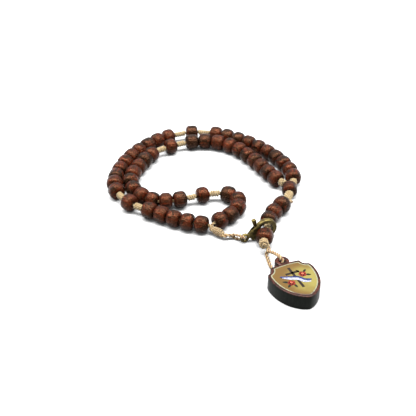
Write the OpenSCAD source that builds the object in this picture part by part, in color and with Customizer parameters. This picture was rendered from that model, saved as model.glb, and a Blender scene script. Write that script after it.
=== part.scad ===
/* [Beads] */
// Diameter of a wooden bead
bead_d = 7; // [5:0.1:10]
// Length of a bead along its bore
bead_len = 5.5; // [4:0.1:9]
// Diameter of the bore through a bead
bead_bore = 1.7; // [1.4:0.1:3]
// Diameter of the wider bore through the junction bead, which takes two cords
junction_bore = 3; // [2.8:0.1:3.6]
// Space between two beads on a straight run
bead_gap = 0.25; // [0.2:0.05:0.6]
// How square the bead's outline is: 2 is an ellipse
bead_squareness = 2.4; // [2:0.1:4]

/* [Cord and knots] */
// Thickness of the twisted cord
cord_d = 1.1; // [0.8:0.05:1.3]
// Diameter of a wound knot between beads
knot_d = 3; // [2.4:0.1:4]
// Diameter of the bore through a wound knot
knot_bore = 1.4; // [1.2:0.05:1.8]
// Bevel on the ends of a wound knot
knot_bevel = 0.45; // [0.2:0.05:0.8]
// Lengths of the five knots on the outer strand, from the clasp round
outer_knots = [4.2, 4.8, 5.2, 5.4, 2.8];
// Lengths of the five knots on the inner strand, from the clasp round
inner_knots = [4.4, 3.8, 4.6, 3.8, 2.6];
// Length of the knot between the junction bead and the tail
tail_knot_len = 6.9; // [4:0.1:8]
// Length of the knot that the clasp holds
held_knot_len = 3.4; // [2:0.1:4.2]
// Diameter of the knot that the clasp holds
held_knot_d = 2.3; // [2:0.1:2.6]
// Bare cord on each side of the knot that the clasp holds
held_knot_lead = 1.8; // [1.2:0.1:2.4]
// Diameter of the end knot
end_knot_d = 3.5; // [3:0.1:4.2]
// Length of the end knot
end_knot_len = 2.6; // [2.4:0.1:3.6]
// Diameter of the knot that joins both strands to the clasp
joining_knot_d = 3.4; // [3.2:0.1:4]
// Bore of a knot that takes two cords side by side
double_bore = 2.5; // [2.4:0.1:2.8]

/* [Clasp] */
// Outer radius of the clasp's hook
hook_r = 4.3; // [4.1:0.1:5.5]
// Radius of the opening inside the hook
hook_hole_r = 2.9; // [2.7:0.05:3]
// Distance between the centres of the eye and the hook
clasp_reach = 8.9; // [8.6:0.1:11]
// Thickness of the clasp's body and hook
clasp_t = 2.8; // [2.4:0.1:3.2]
// Bevel on the edges of the clasp
clasp_bevel = 0.4; // [0.1:0.05:0.4]
// Outer radius of the clasp's eye
eye_r = 1.9; // [1.8:0.1:2.4]
// Radius of the hole in the eye
eye_hole_r = 1.15; // [1.1:0.05:1.2]
// Thickness of the eye
eye_t = 1.6; // [1.2:0.1:2]
// Thickness of the thumb lever
lever_t = 1.1; // [0.8:0.05:1.3]
// Free space on each side of the lever, in its slot and past its end
lever_gap = 0.15; // [0.1:0.05:0.25]
// Thickness of the lever's gate, measured across the hook's ring
gate_w = 1; // [0.8:0.05:1.1]
// Width of the thumb tab
tab_w = 1.2; // [1:0.1:1.6]
// Length of the thumb arm from the rivet
tab_len = 7.2; // [6.8:0.1:9]
// Lean of the thumb arm towards the eye, in degrees
tab_lean = 11; // [5:1:15]
// Angle that the lever opens through, in degrees
lever_travel = 15; // [10:1:18]
// Diameter of the rivet
rivet_d = 0.9; // [0.8:0.05:1]

/* [Pendant] */
// Half of the greatest width of the shield
shield_half_w = 8.6; // [6:0.1:12]
// Height of the shield from its top edge to its tip
shield_h = 19.3; // [14:0.1:26]
// Thickness of the shield
shield_t = 6; // [4:0.1:8]
// Rise of the top edge at its middle
shield_crown = 0.4; // [0:0.1:1]
// Half of the length of the top edge
shield_top_half = 5.9; // [4.8:0.1:8]
// Depth of the widest line below the top edge
shield_shoulder = 5; // [4:0.1:7]
// Radius of the scooped upper corners
scoop_r = 2.3; // [1.8:0.1:2.5]
// Width of the bare rim round the printed plate
rim_w = 0.75; // [0.4:0.05:1.2]
// Thickness of the printed plate
plate_t = 0.4; // [0.2:0.05:1]
// Outer radius of the lug
lug_r = 2.6; // [2.4:0.1:3.2]
// Radius of the hole in the lug
lug_hole_r = 1.15; // [1.1:0.05:1.4]
// Thickness of the lug
lug_t = 3.4; // [2:0.1:3.4]
// Height of the underside of the lug above the surface
lug_lift = 1.4; // [1.3:0.1:2.2]

/* [Hidden] */

$fn = 48;

// The routes of the strings, as they lie: X and Y in plan, and the height as a share of the bead's radius.
// Outer strand, from the joining knot round to the junction bead
outer_route = [
    [3.2, -17.2, 0.75], [1.7, -16.4, 1], [-1.5, -15.6, 1], [-9, -13.4, 1], [-17.5, -9.5, 1],
    [-30.2, -2, 1], [-37, 7.2, 1], [-38.8, 18, 1], [-35.4, 31.6, 1], [-30, 41.5, 1], [-22, 50, 1],
    [-14, 54.5, 1], [-5, 57, 1], [6, 55.5, 1], [16.3, 50.3, 1], [25, 43, 1], [32.5, 33.5, 1],
    [37, 25, 1], [38.3, 20, 1], [38, 15.8, 1], [36.7, 11.8, 1]
];
// Inner strand, from the joining knot round to the junction bead
inner_route = [
    [2.7, -16, 0.85], [3.7, -15, 1], [5.9, -13.1, 1], [9.4, -10, 1], [12.4, -7.4, 1],
    [14.9, -4.6, 1], [15.8, -1.4, 1], [15.2, 1.8, 1], [13.1, 4.7, 1], [9.8, 6.5, 1], [6, 6.6, 1],
    [-1, 5.2, 1], [-10, 1.6, 1], [-16.5, -0.3, 1], [-22.7, 1.2, 1], [-27.3, 5, 1], [-30.1, 9.8, 1],
    [-31.2, 15, 1], [-30.8, 20.5, 1], [-27, 31, 1], [-23, 38, 1], [-14.5, 44.6, 1],
    [-4.5, 48.6, 1], [3, 48.7, 1], [12, 44.2, 1], [19.5, 35.2, 1], [25, 26, 1], [31, 16.5, 1],
    [35.3, 12.2, 1]
];
// Tail, from the back of the junction bead past the end knot
tail_route = [
    [35.9, 12.4, 1], [35.5, 6.9, 1], [34.3, 2.2, 1], [31.9, -2.4, 1], [28, -7.4, 1],
    [25.5, -12.4, 1.01], [24.9, -15.6, 1.1], [24.7, -18.7, 1.28], [24, -21.9, 1.1], [23, -24.8, 1],
    [22.4, -29, 1.12], [21.5, -45, 1.5]
];
// Axis of the joining knot, from the strands' end to the clasp's end
joining_route = [[2.8, -17.1, 0.68], [7.5, -20.7, 0.54]];
// Extra room for beads on the tight bends of the inner strand, for beads 7 mm across
front_bend_room = [0, 0.5, 1.5, 1.8, 1.1];
left_bend_room = [0.2, 0.35, 0.4, 0.2, 0.2, 0.1, 0.1, 0, 0.1, 0.1];
right_bend_room = [0, 0.3, 0.1, 0.1, 0.1, 0, 0, 0, 0, 0];
outer_bend_room = [0, 0, 0, 0, 0, 0, 0, 0, 0, 0.4];
tail_bend_room = [0.15, 0.1, 0.15];
no_bend_room = [0, 0, 0, 0, 0, 0, 0, 0, 0, 0];
// Middle of the shield's top edge, counted from the end knot, and which way the shield turns
pendant_offset = [7, -14.2];
pendant_turn = 21.5;
// Which way the clasp points, from its eye to its hook
clasp_turn = 20;
// Shift of the whole plan, which puts the middle of its box at the origin
centre = [0.25, 0.98];
// Where the held knot lies in the hook: past its centre, and behind the clasp's middle plane
held_aside = 1;
held_behind = 0.5;

// Offset from the axis of two cords that lie side by side
pair_offset = 0.6;
// Depth to which a cord enters a bore or a knot
cord_seat = 0.9;
// Clearance between a seated part and its pocket
seat_gap = 0.1;
// Steps of the smooth curve between two route points
curve_steps = 8;
cord_sides = 8;
bead_r = bead_d / 2;
wood = "#6e3626";
cream = "#e3cf9b";
old_brass = "#7d7142";

// Sums and places along a line of points
function total(v, i = 0) = i < len(v) ? v[i] + total(v, i + 1) : 0;
function running(v) = [for (i = 0, a = 0; i <= len(v); a = a + (i < len(v) ? v[i] : 0), i = i + 1) a];
function spans(p) = [for (i = [1:len(p) - 1]) norm(p[i] - p[i - 1])];
function column(s, p, k) = [for (i = [0:len(p) - 1]) [s[i], p[i][k]]];
function at_length(s, p, q) = [for (k = [0:2]) lookup(q, column(s, p, k))];
function unit(v) = v / norm(v);
function flat(p) = [p.x, p.y];

// Smooth curve through route points
function blend(a, b, c, d, t) =
    (2 * b + (c - a) * t + (2 * a - 5 * b + 4 * c - d) * t * t + (3 * b - a - 3 * c + d) * t * t * t) / 2;
function smooth(p, steps) = concat(
    [for (i = [0:len(p) - 2]) for (k = [0:steps - 1])
        blend(p[max(i - 1, 0)], p[i], p[i + 1], p[min(i + 2, len(p) - 1)], k / steps)],
    [p[len(p) - 1]]
);

// What is threaded on each strand: lengths with the space that each takes
function beads(room) = [for (v = room) bead_len + bead_gap + v * bead_d / 7];
function strand_steps(knots, front_room, left_room, right_room) = concat(
    beads([for (k = [0:4]) front_room[k]]), [knots[0] + bead_gap], beads([0]), [knots[1] + bead_gap],
    beads(left_room), [knots[2] + bead_gap], beads([0]), [knots[3] + bead_gap],
    beads(right_room), [knots[4] + bead_gap]
);
outer_steps = strand_steps(outer_knots, no_bend_room, no_bend_room, outer_bend_room);
inner_steps = strand_steps(inner_knots, front_bend_room, left_bend_room, right_bend_room);
tail_steps = concat(
    beads([0]), [tail_knot_len + 1.5 * bead_gap], beads(tail_bend_room), [held_knot_lead],
    [held_knot_len], [held_knot_lead], beads([0.1]), [end_knot_len + bead_gap]
);
// Bare cord from the joining knot to the first bead, and from the last knot to the junction bead
outer_lead = 2.1;
inner_lead = 1.5;
strand_end = 1.2;

// The drawn routes are scaled in plan until the whole string fits them
function drawn(route) = total(spans(smooth([for (p = route) flat(p)], curve_steps)));
string_len = total(outer_steps) + total(inner_steps) + outer_lead + inner_lead + 2 * strand_end;
plan_scale = max(string_len / (drawn(outer_route) + drawn(inner_route)), bead_d / 7 * 0.995);
function lay(p) = [p.x * plan_scale + centre.x, p.y * plan_scale + centre.y, p.z * bead_r];
function lay_route(route) = smooth([for (p = route) lay(p)], curve_steps);

// Points between neighbours on a strand; what slack is left can be shared out evenly
function stops(curve, steps, lead, slack) =
    let (s = running(spans(curve)))
    [for (q = running([for (v = steps) v + slack])) at_length(s, curve, lead + q)];
function slack(curve, steps, lead) =
    (total(spans(curve)) - lead - strand_end - total(steps)) / len(steps);
outer_curve = lay_route(outer_route);
inner_curve = lay_route(inner_route);
tail_curve = lay_route(tail_route);
outer_stops = stops(outer_curve, outer_steps, outer_lead, slack(outer_curve, outer_steps, outer_lead));
inner_stops = stops(inner_curve, inner_steps, inner_lead, slack(inner_curve, inner_steps, inner_lead));
tail_stops = stops(tail_curve, tail_steps, 0, 0);

// Places on the strands, counted from the clasp
front_first = 0;
left_first = 8;
right_first = 21;
knot_places = [5, 7, 18, 20, 31];
tail_knot_place = 1;
tail_bead_place = 2;
held_knot_place = 6;
end_bead_place = 8;
end_knot_place = 9;

// Moves a child drawn along +Z, centred, onto the line from a to b
module between(a, b) {
    d = b - a;
    translate((a + b) / 2)
        rotate([0, acos(d.z / norm(d)), atan2(d.y, d.x)])
            children();
}

// A turned wooden bead with its bore, drawn along +Z
module bead(bore) {
    power = 2 / bead_squareness;
    rise = [for (i = [0:8]) 17 + i * 18.25];
    dish = 0.12;
    side = [for (a = rise)
        let (x = bead_r * pow(sin(a), power))
        if (x > bore / 2 + dish)
        [x, -bead_len / 2 * sign(cos(a)) * pow(abs(cos(a)), power)]];
    color(wood)
        rotate_extrude()
            polygon(concat([[bore / 2, dish - bead_len / 2]], side, [[bore / 2, bead_len / 2 - dish]]));
}

// A knot wound round the cord, drawn along +Z
module wound_knot(d, length, bore) {
    color(cream)
        rotate_extrude()
            polygon([
                [bore / 2, -length / 2], [d / 2 - knot_bevel, -length / 2], [d / 2, -length / 2 + knot_bevel],
                [d / 2, length / 2 - knot_bevel], [d / 2 - knot_bevel, length / 2], [bore / 2, length / 2]
            ]);
}

module bead_at(stops, place, bore = bead_bore) {
    between(stops[place], stops[place + 1])
        bead(bore);
}

module bead_run(stops, first, count) {
    for (i = [0:count - 1])
        bead_at(stops, first + i);
}

module knot_at(stops, place, length, d = knot_d) {
    between(stops[place], stops[place + 1])
        wound_knot(d, length, knot_bore);
}

// A cord swept along its points, with a mitred ring at each
module cord(p) {
    last = len(p) - 1;
    function heading(i) = unit(unit(p[min(i + 1, last)] - p[max(min(i, last - 1), 0)])
        + unit(p[max(i, 1)] - p[max(i - 1, 0)]));
    function side(i) = unit(cross(heading(i), [0.01, 0.02, 1]));
    function ring(i) =
        let (a = side(i))
        let (b = cross(heading(i), a))
        [for (k = [0:cord_sides - 1])
            p[i] + cord_d / 2 * (cos(k * 360 / cord_sides) * a + sin(k * 360 / cord_sides) * b)];
    rings = [for (i = [0:last]) each ring(i)];
    start_cap = [for (k = [0:cord_sides - 1]) k];
    end_cap = [for (k = [cord_sides - 1:-1:0]) last * cord_sides + k];
    skin = [for (i = [0:last - 1]) for (k = [0:cord_sides - 1])
        let (a = i * cord_sides + k)
        let (b = i * cord_sides + (k + 1) % cord_sides)
        [a, a + cord_sides, b + cord_sides, b]];
    color(cream)
        polyhedron(rings, concat([start_cap], skin, [end_cap]));
}

// Beads

module bead_string_front_outer() bead_run(outer_stops, front_first, 5);
module bead_string_left_outer() bead_run(outer_stops, left_first, 10);
module bead_string_right_outer() bead_run(outer_stops, right_first, 10);
module bead_string_front_inner() bead_run(inner_stops, front_first, 5);
module bead_string_left_inner() bead_run(inner_stops, left_first, 10);
module bead_string_right_inner() bead_run(inner_stops, right_first, 10);
module main_bead(k) {
    at_stops = k < 2 ? outer_stops : inner_stops;
    bead_at(at_stops, k % 2 == 0 ? 6 : 19);
}
module tail_bead(k) bead_at(tail_stops, tail_bead_place + k);
module junction_bead() bead_at(tail_stops, 0, junction_bore);
module end_bead() bead_at(tail_stops, end_bead_place);

// Knots

module outer_knot(k) knot_at(outer_stops, knot_places[k], outer_knots[k]);
module inner_knot(k) knot_at(inner_stops, knot_places[k], inner_knots[k]);
module tail_knot() knot_at(tail_stops, tail_knot_place, tail_knot_len);
module held_knot() knot_at(tail_stops, held_knot_place, held_knot_len, held_knot_d);

joining_start = lay(joining_route[0]);
joining_end = lay(joining_route[1]);
module joining_knot() {
    between(joining_start, joining_end)
        wound_knot(joining_knot_d, norm(joining_end - joining_start), double_bore);
}

// The end knot has a socket at its lower right, where the pendant's cord leaves it
end_knot_start = tail_stops[end_knot_place];
end_knot_end = tail_stops[end_knot_place + 1];
end_knot_centre = (end_knot_start + end_knot_end) / 2;
cord_exit = unit([0.7, -0.4, -0.55]);
socket_floor = end_knot_centre + 1.1 * cord_exit;
module end_knot() {
    difference() {
        knot_at(tail_stops, end_knot_place, end_knot_len, end_knot_d);
        between(socket_floor, socket_floor + 4 * cord_exit)
            cylinder(d = double_bore, h = 4, center = true);
    }
}

// Cords on the strands: straight inside each bead, with their ends side by side where two meet
junction_axis = unit(tail_stops[1] - tail_stops[0]);
junction_side = unit(cross(junction_axis, [0, 0, 1]));
joining_axis = unit(joining_end - joining_start);
joining_side = unit(cross(joining_axis, [0, 0, 1]));
function strand_cord(stops, way, turn) = concat(
    [joining_start + cord_seat * joining_axis + way * pair_offset * joining_side,
        joining_start + way * pair_offset * joining_side],
    turn, stops,
    [tail_stops[0] - 0.4 * junction_axis - way * pair_offset * junction_side,
        tail_stops[0] + cord_seat * junction_axis - way * pair_offset * junction_side]
);
module outer_cord() cord(strand_cord(outer_stops, 1, []));
module inner_cord() cord(strand_cord(inner_stops, -1, [inner_curve[0]]));
module tail_cord() {
    inside = tail_stops[0] + (cord_seat + seat_gap) * junction_axis;
    beyond = [for (i = [1:end_knot_place]) tail_stops[i]];
    end = end_knot_start + cord_seat * unit(end_knot_end - end_knot_start);
    cord(concat([inside], beyond, [end]));
}

// Clasp: drawn in its own plane, X from the eye to the hook, Y up, and Z through its thickness

eye_lift = 0.1;
eye_at = [0, eye_r + eye_lift];
hook_at = [sqrt(pow(clasp_reach, 2) - pow(hook_r - eye_at.y, 2)), hook_r];
pivot_at = [hook_at.x - 3.75, hook_at.y - 1.5];
hub_r = 1.05;
gate_r = norm(hook_at + (hook_r - 0.85) * [cos(-57), sin(-57)] - pivot_at);
slot_w = lever_t + 2 * lever_gap;
// The clasp stands with the centre of its hook where the held knot passes through
held_at = (tail_stops[held_knot_place] + tail_stops[held_knot_place + 1]) / 2;
clasp_dir = [cos(clasp_turn), sin(clasp_turn), 0];
clasp_back = [-sin(clasp_turn), cos(clasp_turn), 0];
clasp_at = [held_at.x, held_at.y, 0] - (hook_at.x + held_aside) * clasp_dir - held_behind * clasp_back;

module stand_clasp() {
    translate(clasp_at)
        rotate([90, 0, clasp_turn])
            children();
}

// Outline of eye and hook with the two lines that touch both
module teardrop(inset) {
    reach = hook_at - eye_at;
    lean = atan2(reach.y, reach.x);
    flare = asin((hook_r - eye_r) / norm(reach));
    up = [cos(lean + flare + 90), sin(lean + flare + 90)];
    down = [cos(lean - flare - 90), sin(lean - flare - 90)];
    translate(eye_at)
        circle(r = eye_r - inset);
    translate(hook_at)
        circle(r = hook_r - inset);
    polygon([
        eye_at + (eye_r - inset) * up, hook_at + (hook_r - inset) * up,
        hook_at + (hook_r - inset) * down, eye_at + (eye_r - inset) * down
    ]);
}

// One layer of the cast body, from a line across it to the hook's far side
module clasp_layer(t, inset, from_x) {
    difference() {
        linear_extrude(t, center = true)
            intersection() {
                teardrop(inset);
                translate([from_x, -1])
                    square([30, 20]);
            }
        translate(hook_at)
            cylinder(r = hook_hole_r + inset, h = t + 1, center = true);
    }
}

// Part of the ring that the gate closes, as a wedge about the hook's centre
module wedge(from_angle, to_angle, r) {
    translate(hook_at)
        polygon(concat([[0, 0]], [for (k = [0:4])
            let (a = from_angle + k * (to_angle - from_angle) / 4)
            r * [cos(a), sin(a)]]));
}

module lever_slot() {
    shut = 90 + tab_lean;
    open = shut + lever_travel;
    half = tab_w / 2 + 2 * lever_gap;
    right = half * [cos(shut - 90), sin(shut - 90)];
    left = half * [cos(open + 90), sin(open + 90)];
    linear_extrude(slot_w, center = true)
        translate(pivot_at) {
            circle(r = hub_r + 2 * lever_gap);
            polygon([right, right + 12 * [cos(shut), sin(shut)], left + 12 * [cos(open), sin(open)], left]);
            translate([-hub_r - 2 * lever_gap, -pivot_at.y - 1])
                square([6, pivot_at.y + 2.6]);
        }
}

module clasp_body() {
    color(old_brass)
        stand_clasp()
            difference() {
                union() {
                    linear_extrude(eye_t, center = true)
                        intersection() {
                            teardrop(0);
                            translate([-5, -1])
                                square([5 + eye_r + 0.6, 20]);
                        }
                    clasp_layer(clasp_t - 2 * clasp_bevel, 0, eye_r + 0.1);
                    clasp_layer(clasp_t, clasp_bevel, eye_r + 0.1 + clasp_bevel);
                }
                translate(eye_at)
                    cylinder(r = eye_hole_r, h = eye_t + 2, center = true);
                linear_extrude(clasp_t + 1, center = true)
                    intersection() {
                        wedge(-135, -25, hook_r + 3);
                        translate(pivot_at)
                            circle(r = gate_r + lever_gap);
                    }
                lever_slot();
                translate(pivot_at)
                    cylinder(d = rivet_d, h = clasp_t + 1, center = true);
            }
}

module lever_outline() {
    gate_outer_r = hook_r - 0.3;
    translate(pivot_at)
        circle(r = hub_r);
    intersection() {
        difference() {
            wedge(-168, -45, hook_r + 3);
            translate(hook_at)
                circle(r = gate_outer_r - gate_w);
        }
        translate(hook_at)
            circle(r = gate_outer_r);
        translate(pivot_at)
            circle(r = gate_r);
    }
    translate(pivot_at)
        rotate(tab_lean) {
            translate([-tab_w / 2, 0])
                square([tab_w, tab_len - tab_w / 2]);
            translate([0, tab_len - tab_w / 2])
                circle(d = tab_w);
        }
}

module clasp_lever() {
    color(old_brass)
        stand_clasp()
            difference() {
                linear_extrude(lever_t, center = true)
                    lever_outline();
                translate(pivot_at)
                    cylinder(d = rivet_d + seat_gap, h = lever_t + 1, center = true);
            }
}

module clasp_rivet() {
    color(old_brass)
        stand_clasp()
            translate(pivot_at)
                cylinder(d = rivet_d, h = clasp_t + 2 * seat_gap, center = true);
}

// The cord through the clasp's eye: near the knot in plan, near the eye in the clasp's own plane
function by_eye(x, y, back) =
    clasp_at + (eye_at.x + x) * clasp_dir + [0, 0, eye_at.y + y] + back * clasp_back;
face_pass = eye_t / 2 + cord_d / 2 + 0.15;
function by_joining(along, side, rise) =
    joining_end + along * joining_axis + side * joining_side + [0, 0, rise];
clasp_cord_route = [
    by_joining(-cord_seat, pair_offset, 0), by_joining(0.3, pair_offset, 0),
    by_joining(2.2, 0.9, 0.6), by_eye(-3.4, 1.6, -0.9), by_eye(-1.9, 1.1, -face_pass),
    by_eye(-0.9, 0.5, -face_pass), by_eye(-0.3, 0.2, -face_pass + 0.35), by_eye(0, 0, -0.45),
    by_eye(0, 0, 0.45), by_eye(-0.3, -0.1, face_pass - 0.35), by_eye(-0.9, -0.4, face_pass),
    by_eye(-1.8, -0.8, face_pass), by_eye(-3.2, -0.9, 1.1),
    by_joining(2.2, -0.9, -0.3), by_joining(0.3, -pair_offset, 0),
    by_joining(-cord_seat, -pair_offset, 0)
];
module clasp_cord() cord(smooth(clasp_cord_route, 2));

// Pendant: drawn with the middle of its top edge at the origin and its tip towards -Y

pendant_at = [end_knot_centre.x + pendant_offset.x, end_knot_centre.y + pendant_offset.y, 0];
module place_pendant() {
    translate(pendant_at)
        rotate(pendant_turn)
            children();
}

// Right half of the shield, from the middle of the top edge to the tip
function shield_side(inset) =
    let (scoop_at = [shield_top_half + scoop_r + 0.1, -0.5])
    let (scoop = scoop_r + inset)
    let (widest = shield_half_w - inset)
    let (drop = shield_h - shield_shoulder - 1.35 * inset)
    concat(
        [for (x = [0:0.25:0.75]) [x * (shield_top_half - inset), shield_crown * (1 - x * x) - inset]],
        [[scoop_at.x - scoop, -inset - 0.1]],
        [for (a = [185:14:241]) scoop_at + scoop * [cos(a), sin(a)]],
        [[widest - 0.15, -shield_shoulder + 1.7 - 0.6 * inset]],
        [for (k = [0:9])
            let (t = sin(k * 10))
            [widest * pow(1 - pow(t, 2.2), 0.6), -shield_shoulder - drop * t]],
        [[0, -shield_shoulder - drop]]
    );
function mirrored(p) = [for (i = [len(p) - 2:-1:1]) [-p[i].x, p[i].y]];
module shield(inset) {
    half = shield_side(inset);
    polygon(concat(half, mirrored(half)));
}

lug_at = [0.6, lug_r + 0.1];
module pendant_body() {
    color("#2c2620")
        place_pendant()
            difference() {
                union() {
                    linear_extrude(shield_t)
                        shield(0);
                    translate([lug_at.x, lug_at.y, lug_lift])
                        cylinder(r = lug_r, h = lug_t);
                }
                translate([0, 0, shield_t - plate_t])
                    linear_extrude(plate_t + 1)
                        shield(rim_w);
                translate([lug_at.x, lug_at.y, lug_lift - 1])
                    cylinder(r = lug_hole_r, h = lug_t + 2);
            }
}

module pendant_plate() {
    color("#d6c277")
        place_pendant()
            translate([0, 0, shield_t - plate_t])
                linear_extrude(plate_t)
                    shield(rim_w + seat_gap);
}

// The cord through the lug: down through its hole and back along the surface
lug_world = pendant_at + [
    lug_at.x * cos(pendant_turn) - lug_at.y * sin(pendant_turn),
    lug_at.x * sin(pendant_turn) + lug_at.y * cos(pendant_turn), 0
];
function by_lug(x, y, z) = lug_world + [x, y, z];
lug_top = lug_lift + lug_t;
floor_run = cord_d / 2 + 0.15;
exit_side = unit(cross(cord_exit, [0.4, -0.2, 1]));
function by_exit(along, side) = end_knot_centre + along * cord_exit + side * exit_side;
pendant_cord_route = [
    by_exit(1.25, -pair_offset), by_exit(2.6, -pair_offset), by_lug(-3.9, 7.8, 3.5),
    by_lug(-2.7, 5.2, 4.6), by_lug(-1.3, 2.6, lug_top + 0.75), by_lug(-0.4, 0.9, lug_top + 0.65),
    by_lug(0, 0.05, lug_top - 0.4), by_lug(0, 0, lug_lift + 0.6), by_lug(-0.3, 0.25, floor_run),
    by_lug(-1.5, 0.4, floor_run), by_lug(-3.2, 1.1, floor_run), by_lug(-4.2, 3, floor_run),
    by_lug(-4.7, 6, floor_run), by_lug(-5.1, 8.6, 1.2), by_exit(2.6, pair_offset),
    by_exit(1.25, pair_offset)
];
module pendant_cord() cord(smooth(pendant_cord_route, 2));

bead_string_front_outer();
bead_string_left_outer();
bead_string_right_outer();
bead_string_front_inner();
bead_string_left_inner();
bead_string_right_inner();
for (k = [0:3])
    main_bead(k);
for (k = [0:2])
    tail_bead(k);
junction_bead();
end_bead();
for (k = [0:4])
    outer_knot(k);
for (k = [0:4])
    inner_knot(k);
tail_knot();
held_knot();
end_knot();
joining_knot();
outer_cord();
inner_cord();
tail_cord();
clasp_cord();
pendant_cord();
clasp_body();
clasp_lever();
clasp_rivet();
pendant_body();
pendant_plate();
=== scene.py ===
# %% [markdown]
# # A prayer bead bracelet with a hook clasp and a shield pendant
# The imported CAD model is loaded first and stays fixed. Every piece below is made in metres in the same
# frame, at the place where the CAD model has it, rides on a CAD body and says which CAD solids it stands
# for.

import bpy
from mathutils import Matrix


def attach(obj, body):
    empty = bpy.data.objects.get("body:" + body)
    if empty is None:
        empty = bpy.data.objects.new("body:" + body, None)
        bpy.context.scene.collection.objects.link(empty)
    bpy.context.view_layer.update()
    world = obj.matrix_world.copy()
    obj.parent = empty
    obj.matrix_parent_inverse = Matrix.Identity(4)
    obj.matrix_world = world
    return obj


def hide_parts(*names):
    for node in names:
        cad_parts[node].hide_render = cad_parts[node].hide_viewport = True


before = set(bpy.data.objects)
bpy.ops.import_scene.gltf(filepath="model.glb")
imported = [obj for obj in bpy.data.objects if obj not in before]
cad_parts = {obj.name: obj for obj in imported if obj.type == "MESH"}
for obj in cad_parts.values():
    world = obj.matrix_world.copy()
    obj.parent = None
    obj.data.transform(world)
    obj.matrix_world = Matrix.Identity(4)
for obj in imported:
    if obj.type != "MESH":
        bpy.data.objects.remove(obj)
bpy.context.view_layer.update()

# %% [markdown]
# ## Working with operators
# Blender's operators act on all that is selected, so small functions clear the selection and make it anew.
# Sizes are written in millimetres and become metres, by MM, where Blender takes them.

# %% Common names and helpers
import math
import random

import bmesh
import bpy
import numpy as np
from mathutils import Matrix, Vector

MM = 0.001


def deselect_all():
    """Back in object mode with nothing selected: an operator acts on all that is selected."""
    if bpy.context.object and bpy.context.object.mode != "OBJECT":
        bpy.ops.object.mode_set(mode="OBJECT")
    bpy.ops.object.select_all(action="DESELECT")


def choose(*pieces):
    """Selects these pieces only; the first one is active."""
    deselect_all()
    for piece in pieces:
        piece.select_set(True)
    bpy.context.view_layer.objects.active = pieces[0]


def apply_modifier(piece, kind, **settings):
    """Adds a modifier with its settings and applies it at once."""
    choose(piece)
    modifier = piece.modifiers.new(kind.title(), kind)
    for name, value in settings.items():
        setattr(modifier, name, value)
    bpy.ops.object.modifier_apply(modifier=modifier.name)


def join(name, pieces):
    """Joins the pieces into the first one and names it."""
    choose(*pieces)
    if len(pieces) > 1:
        bpy.ops.object.join()
    piece = bpy.context.object
    piece.name = name
    return piece


def hand_over(piece, body, slot, *nodes):
    """The piece rides on a body and stands for these CAD nodes; the slot is not used."""
    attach(piece, body)
    if nodes:
        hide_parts(*nodes)
    return piece


# %% [markdown]
# ## Camera
# The photograph looks down at about 35 degrees with a mild telephoto lens. The lens and the height were
# worked out from the bead sizes near the front and at the back of the loop.

# %% Place the camera
LOOK_DOWN = 34.95
CAMERA_AT = (0.0015, -0.2564, 0.1803)
FOCAL_LENGTH, SENSOR_WIDTH = 65.94, 36
deselect_all()
bpy.ops.object.camera_add(location=CAMERA_AT, rotation=(math.radians(90 - LOOK_DOWN), 0, 0))
camera = bpy.context.object
camera.data.lens = FOCAL_LENGTH
camera.data.sensor_width = SENSOR_WIDTH
camera.data.clip_start = 0.01
bpy.context.scene.camera = camera
bpy.context.scene.view_settings.view_transform = "Standard"
print("camera at, mm:", [round(v * 1000, 1) for v in camera.location])

# %% [markdown]
# ## Floor and light
# A product picture: a white table, a bright room and one long soft box straight overhead. Several lamps
# would leave a spot each on every bead. The one box gives the wax a single wide highlight, and the bright
# room keeps the shadows short and soft.

# %% Add the table top
bpy.ops.mesh.primitive_plane_add(size=6, location=(0, 0, 0))
floor = bpy.context.object
floor.name = "table_top"
print("table top, m:", [round(v, 2) for v in floor.dimensions])

# %% [markdown]
# ### The room
# The room is a plain white world. It is brighter overhead than at the horizon, so the sides of the beads
# stay darker than their tops.

# %% Light the room
HORIZON_LIGHT, OVERHEAD_LIGHT = 0.7, 3.0
world = bpy.data.worlds.new("bright_room")
world.use_nodes = True
sky = world.node_tree
background = sky.nodes["Background"]
background.inputs["Color"].default_value = (1, 1, 1, 1)
direction = sky.nodes.new("ShaderNodeTexCoord")
split = sky.nodes.new("ShaderNodeSeparateXYZ")
overhead = sky.nodes.new("ShaderNodeMapRange")
overhead.inputs["To Min"].default_value = HORIZON_LIGHT
overhead.inputs["To Max"].default_value = OVERHEAD_LIGHT
sky.links.new(direction.outputs["Generated"], split.inputs[0])
sky.links.new(split.outputs["Z"], overhead.inputs["Value"])
sky.links.new(overhead.outputs["Result"], background.inputs["Strength"])
bpy.context.scene.world = world
print("room light at the horizon and overhead:", HORIZON_LIGHT, OVERHEAD_LIGHT)

# %% [markdown]
# ### The soft box
# The box is far longer than the bracelet is wide, so every bead has its highlight.

# %% Hang the soft box
bpy.ops.object.light_add(type="AREA", location=(0, 0.03, 0.9))
soft_box = bpy.context.object
soft_box.name = "soft_box_above"
soft_box.data.shape = "RECTANGLE"
soft_box.data.size, soft_box.data.size_y = 1.8, 0.4
soft_box.data.energy = 92.0
print("soft box, m:", [round(v, 2) for v in (soft_box.data.size, soft_box.data.size_y)])

# %% [markdown]
# ## Materials
# Every finish is procedural, because a picture of wood would need unwrapped beads and a file of its own.
# Colours are given as hex values, as a colour picker shows them, and one function turns them to the linear
# values that a shader works with. Small functions add the nodes that nearly every finish needs.


# %% Helpers for materials
def colour(code):
    """A hex colour, such as 6e3626, as linear red, green, blue and alpha."""
    parts = [int(code[k:k + 2], 16) / 255 for k in (0, 2, 4)]
    return [v / 12.92 if v <= 0.04045 else ((v + 0.055) / 1.055) ** 2.4 for v in parts] + [1]


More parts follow.
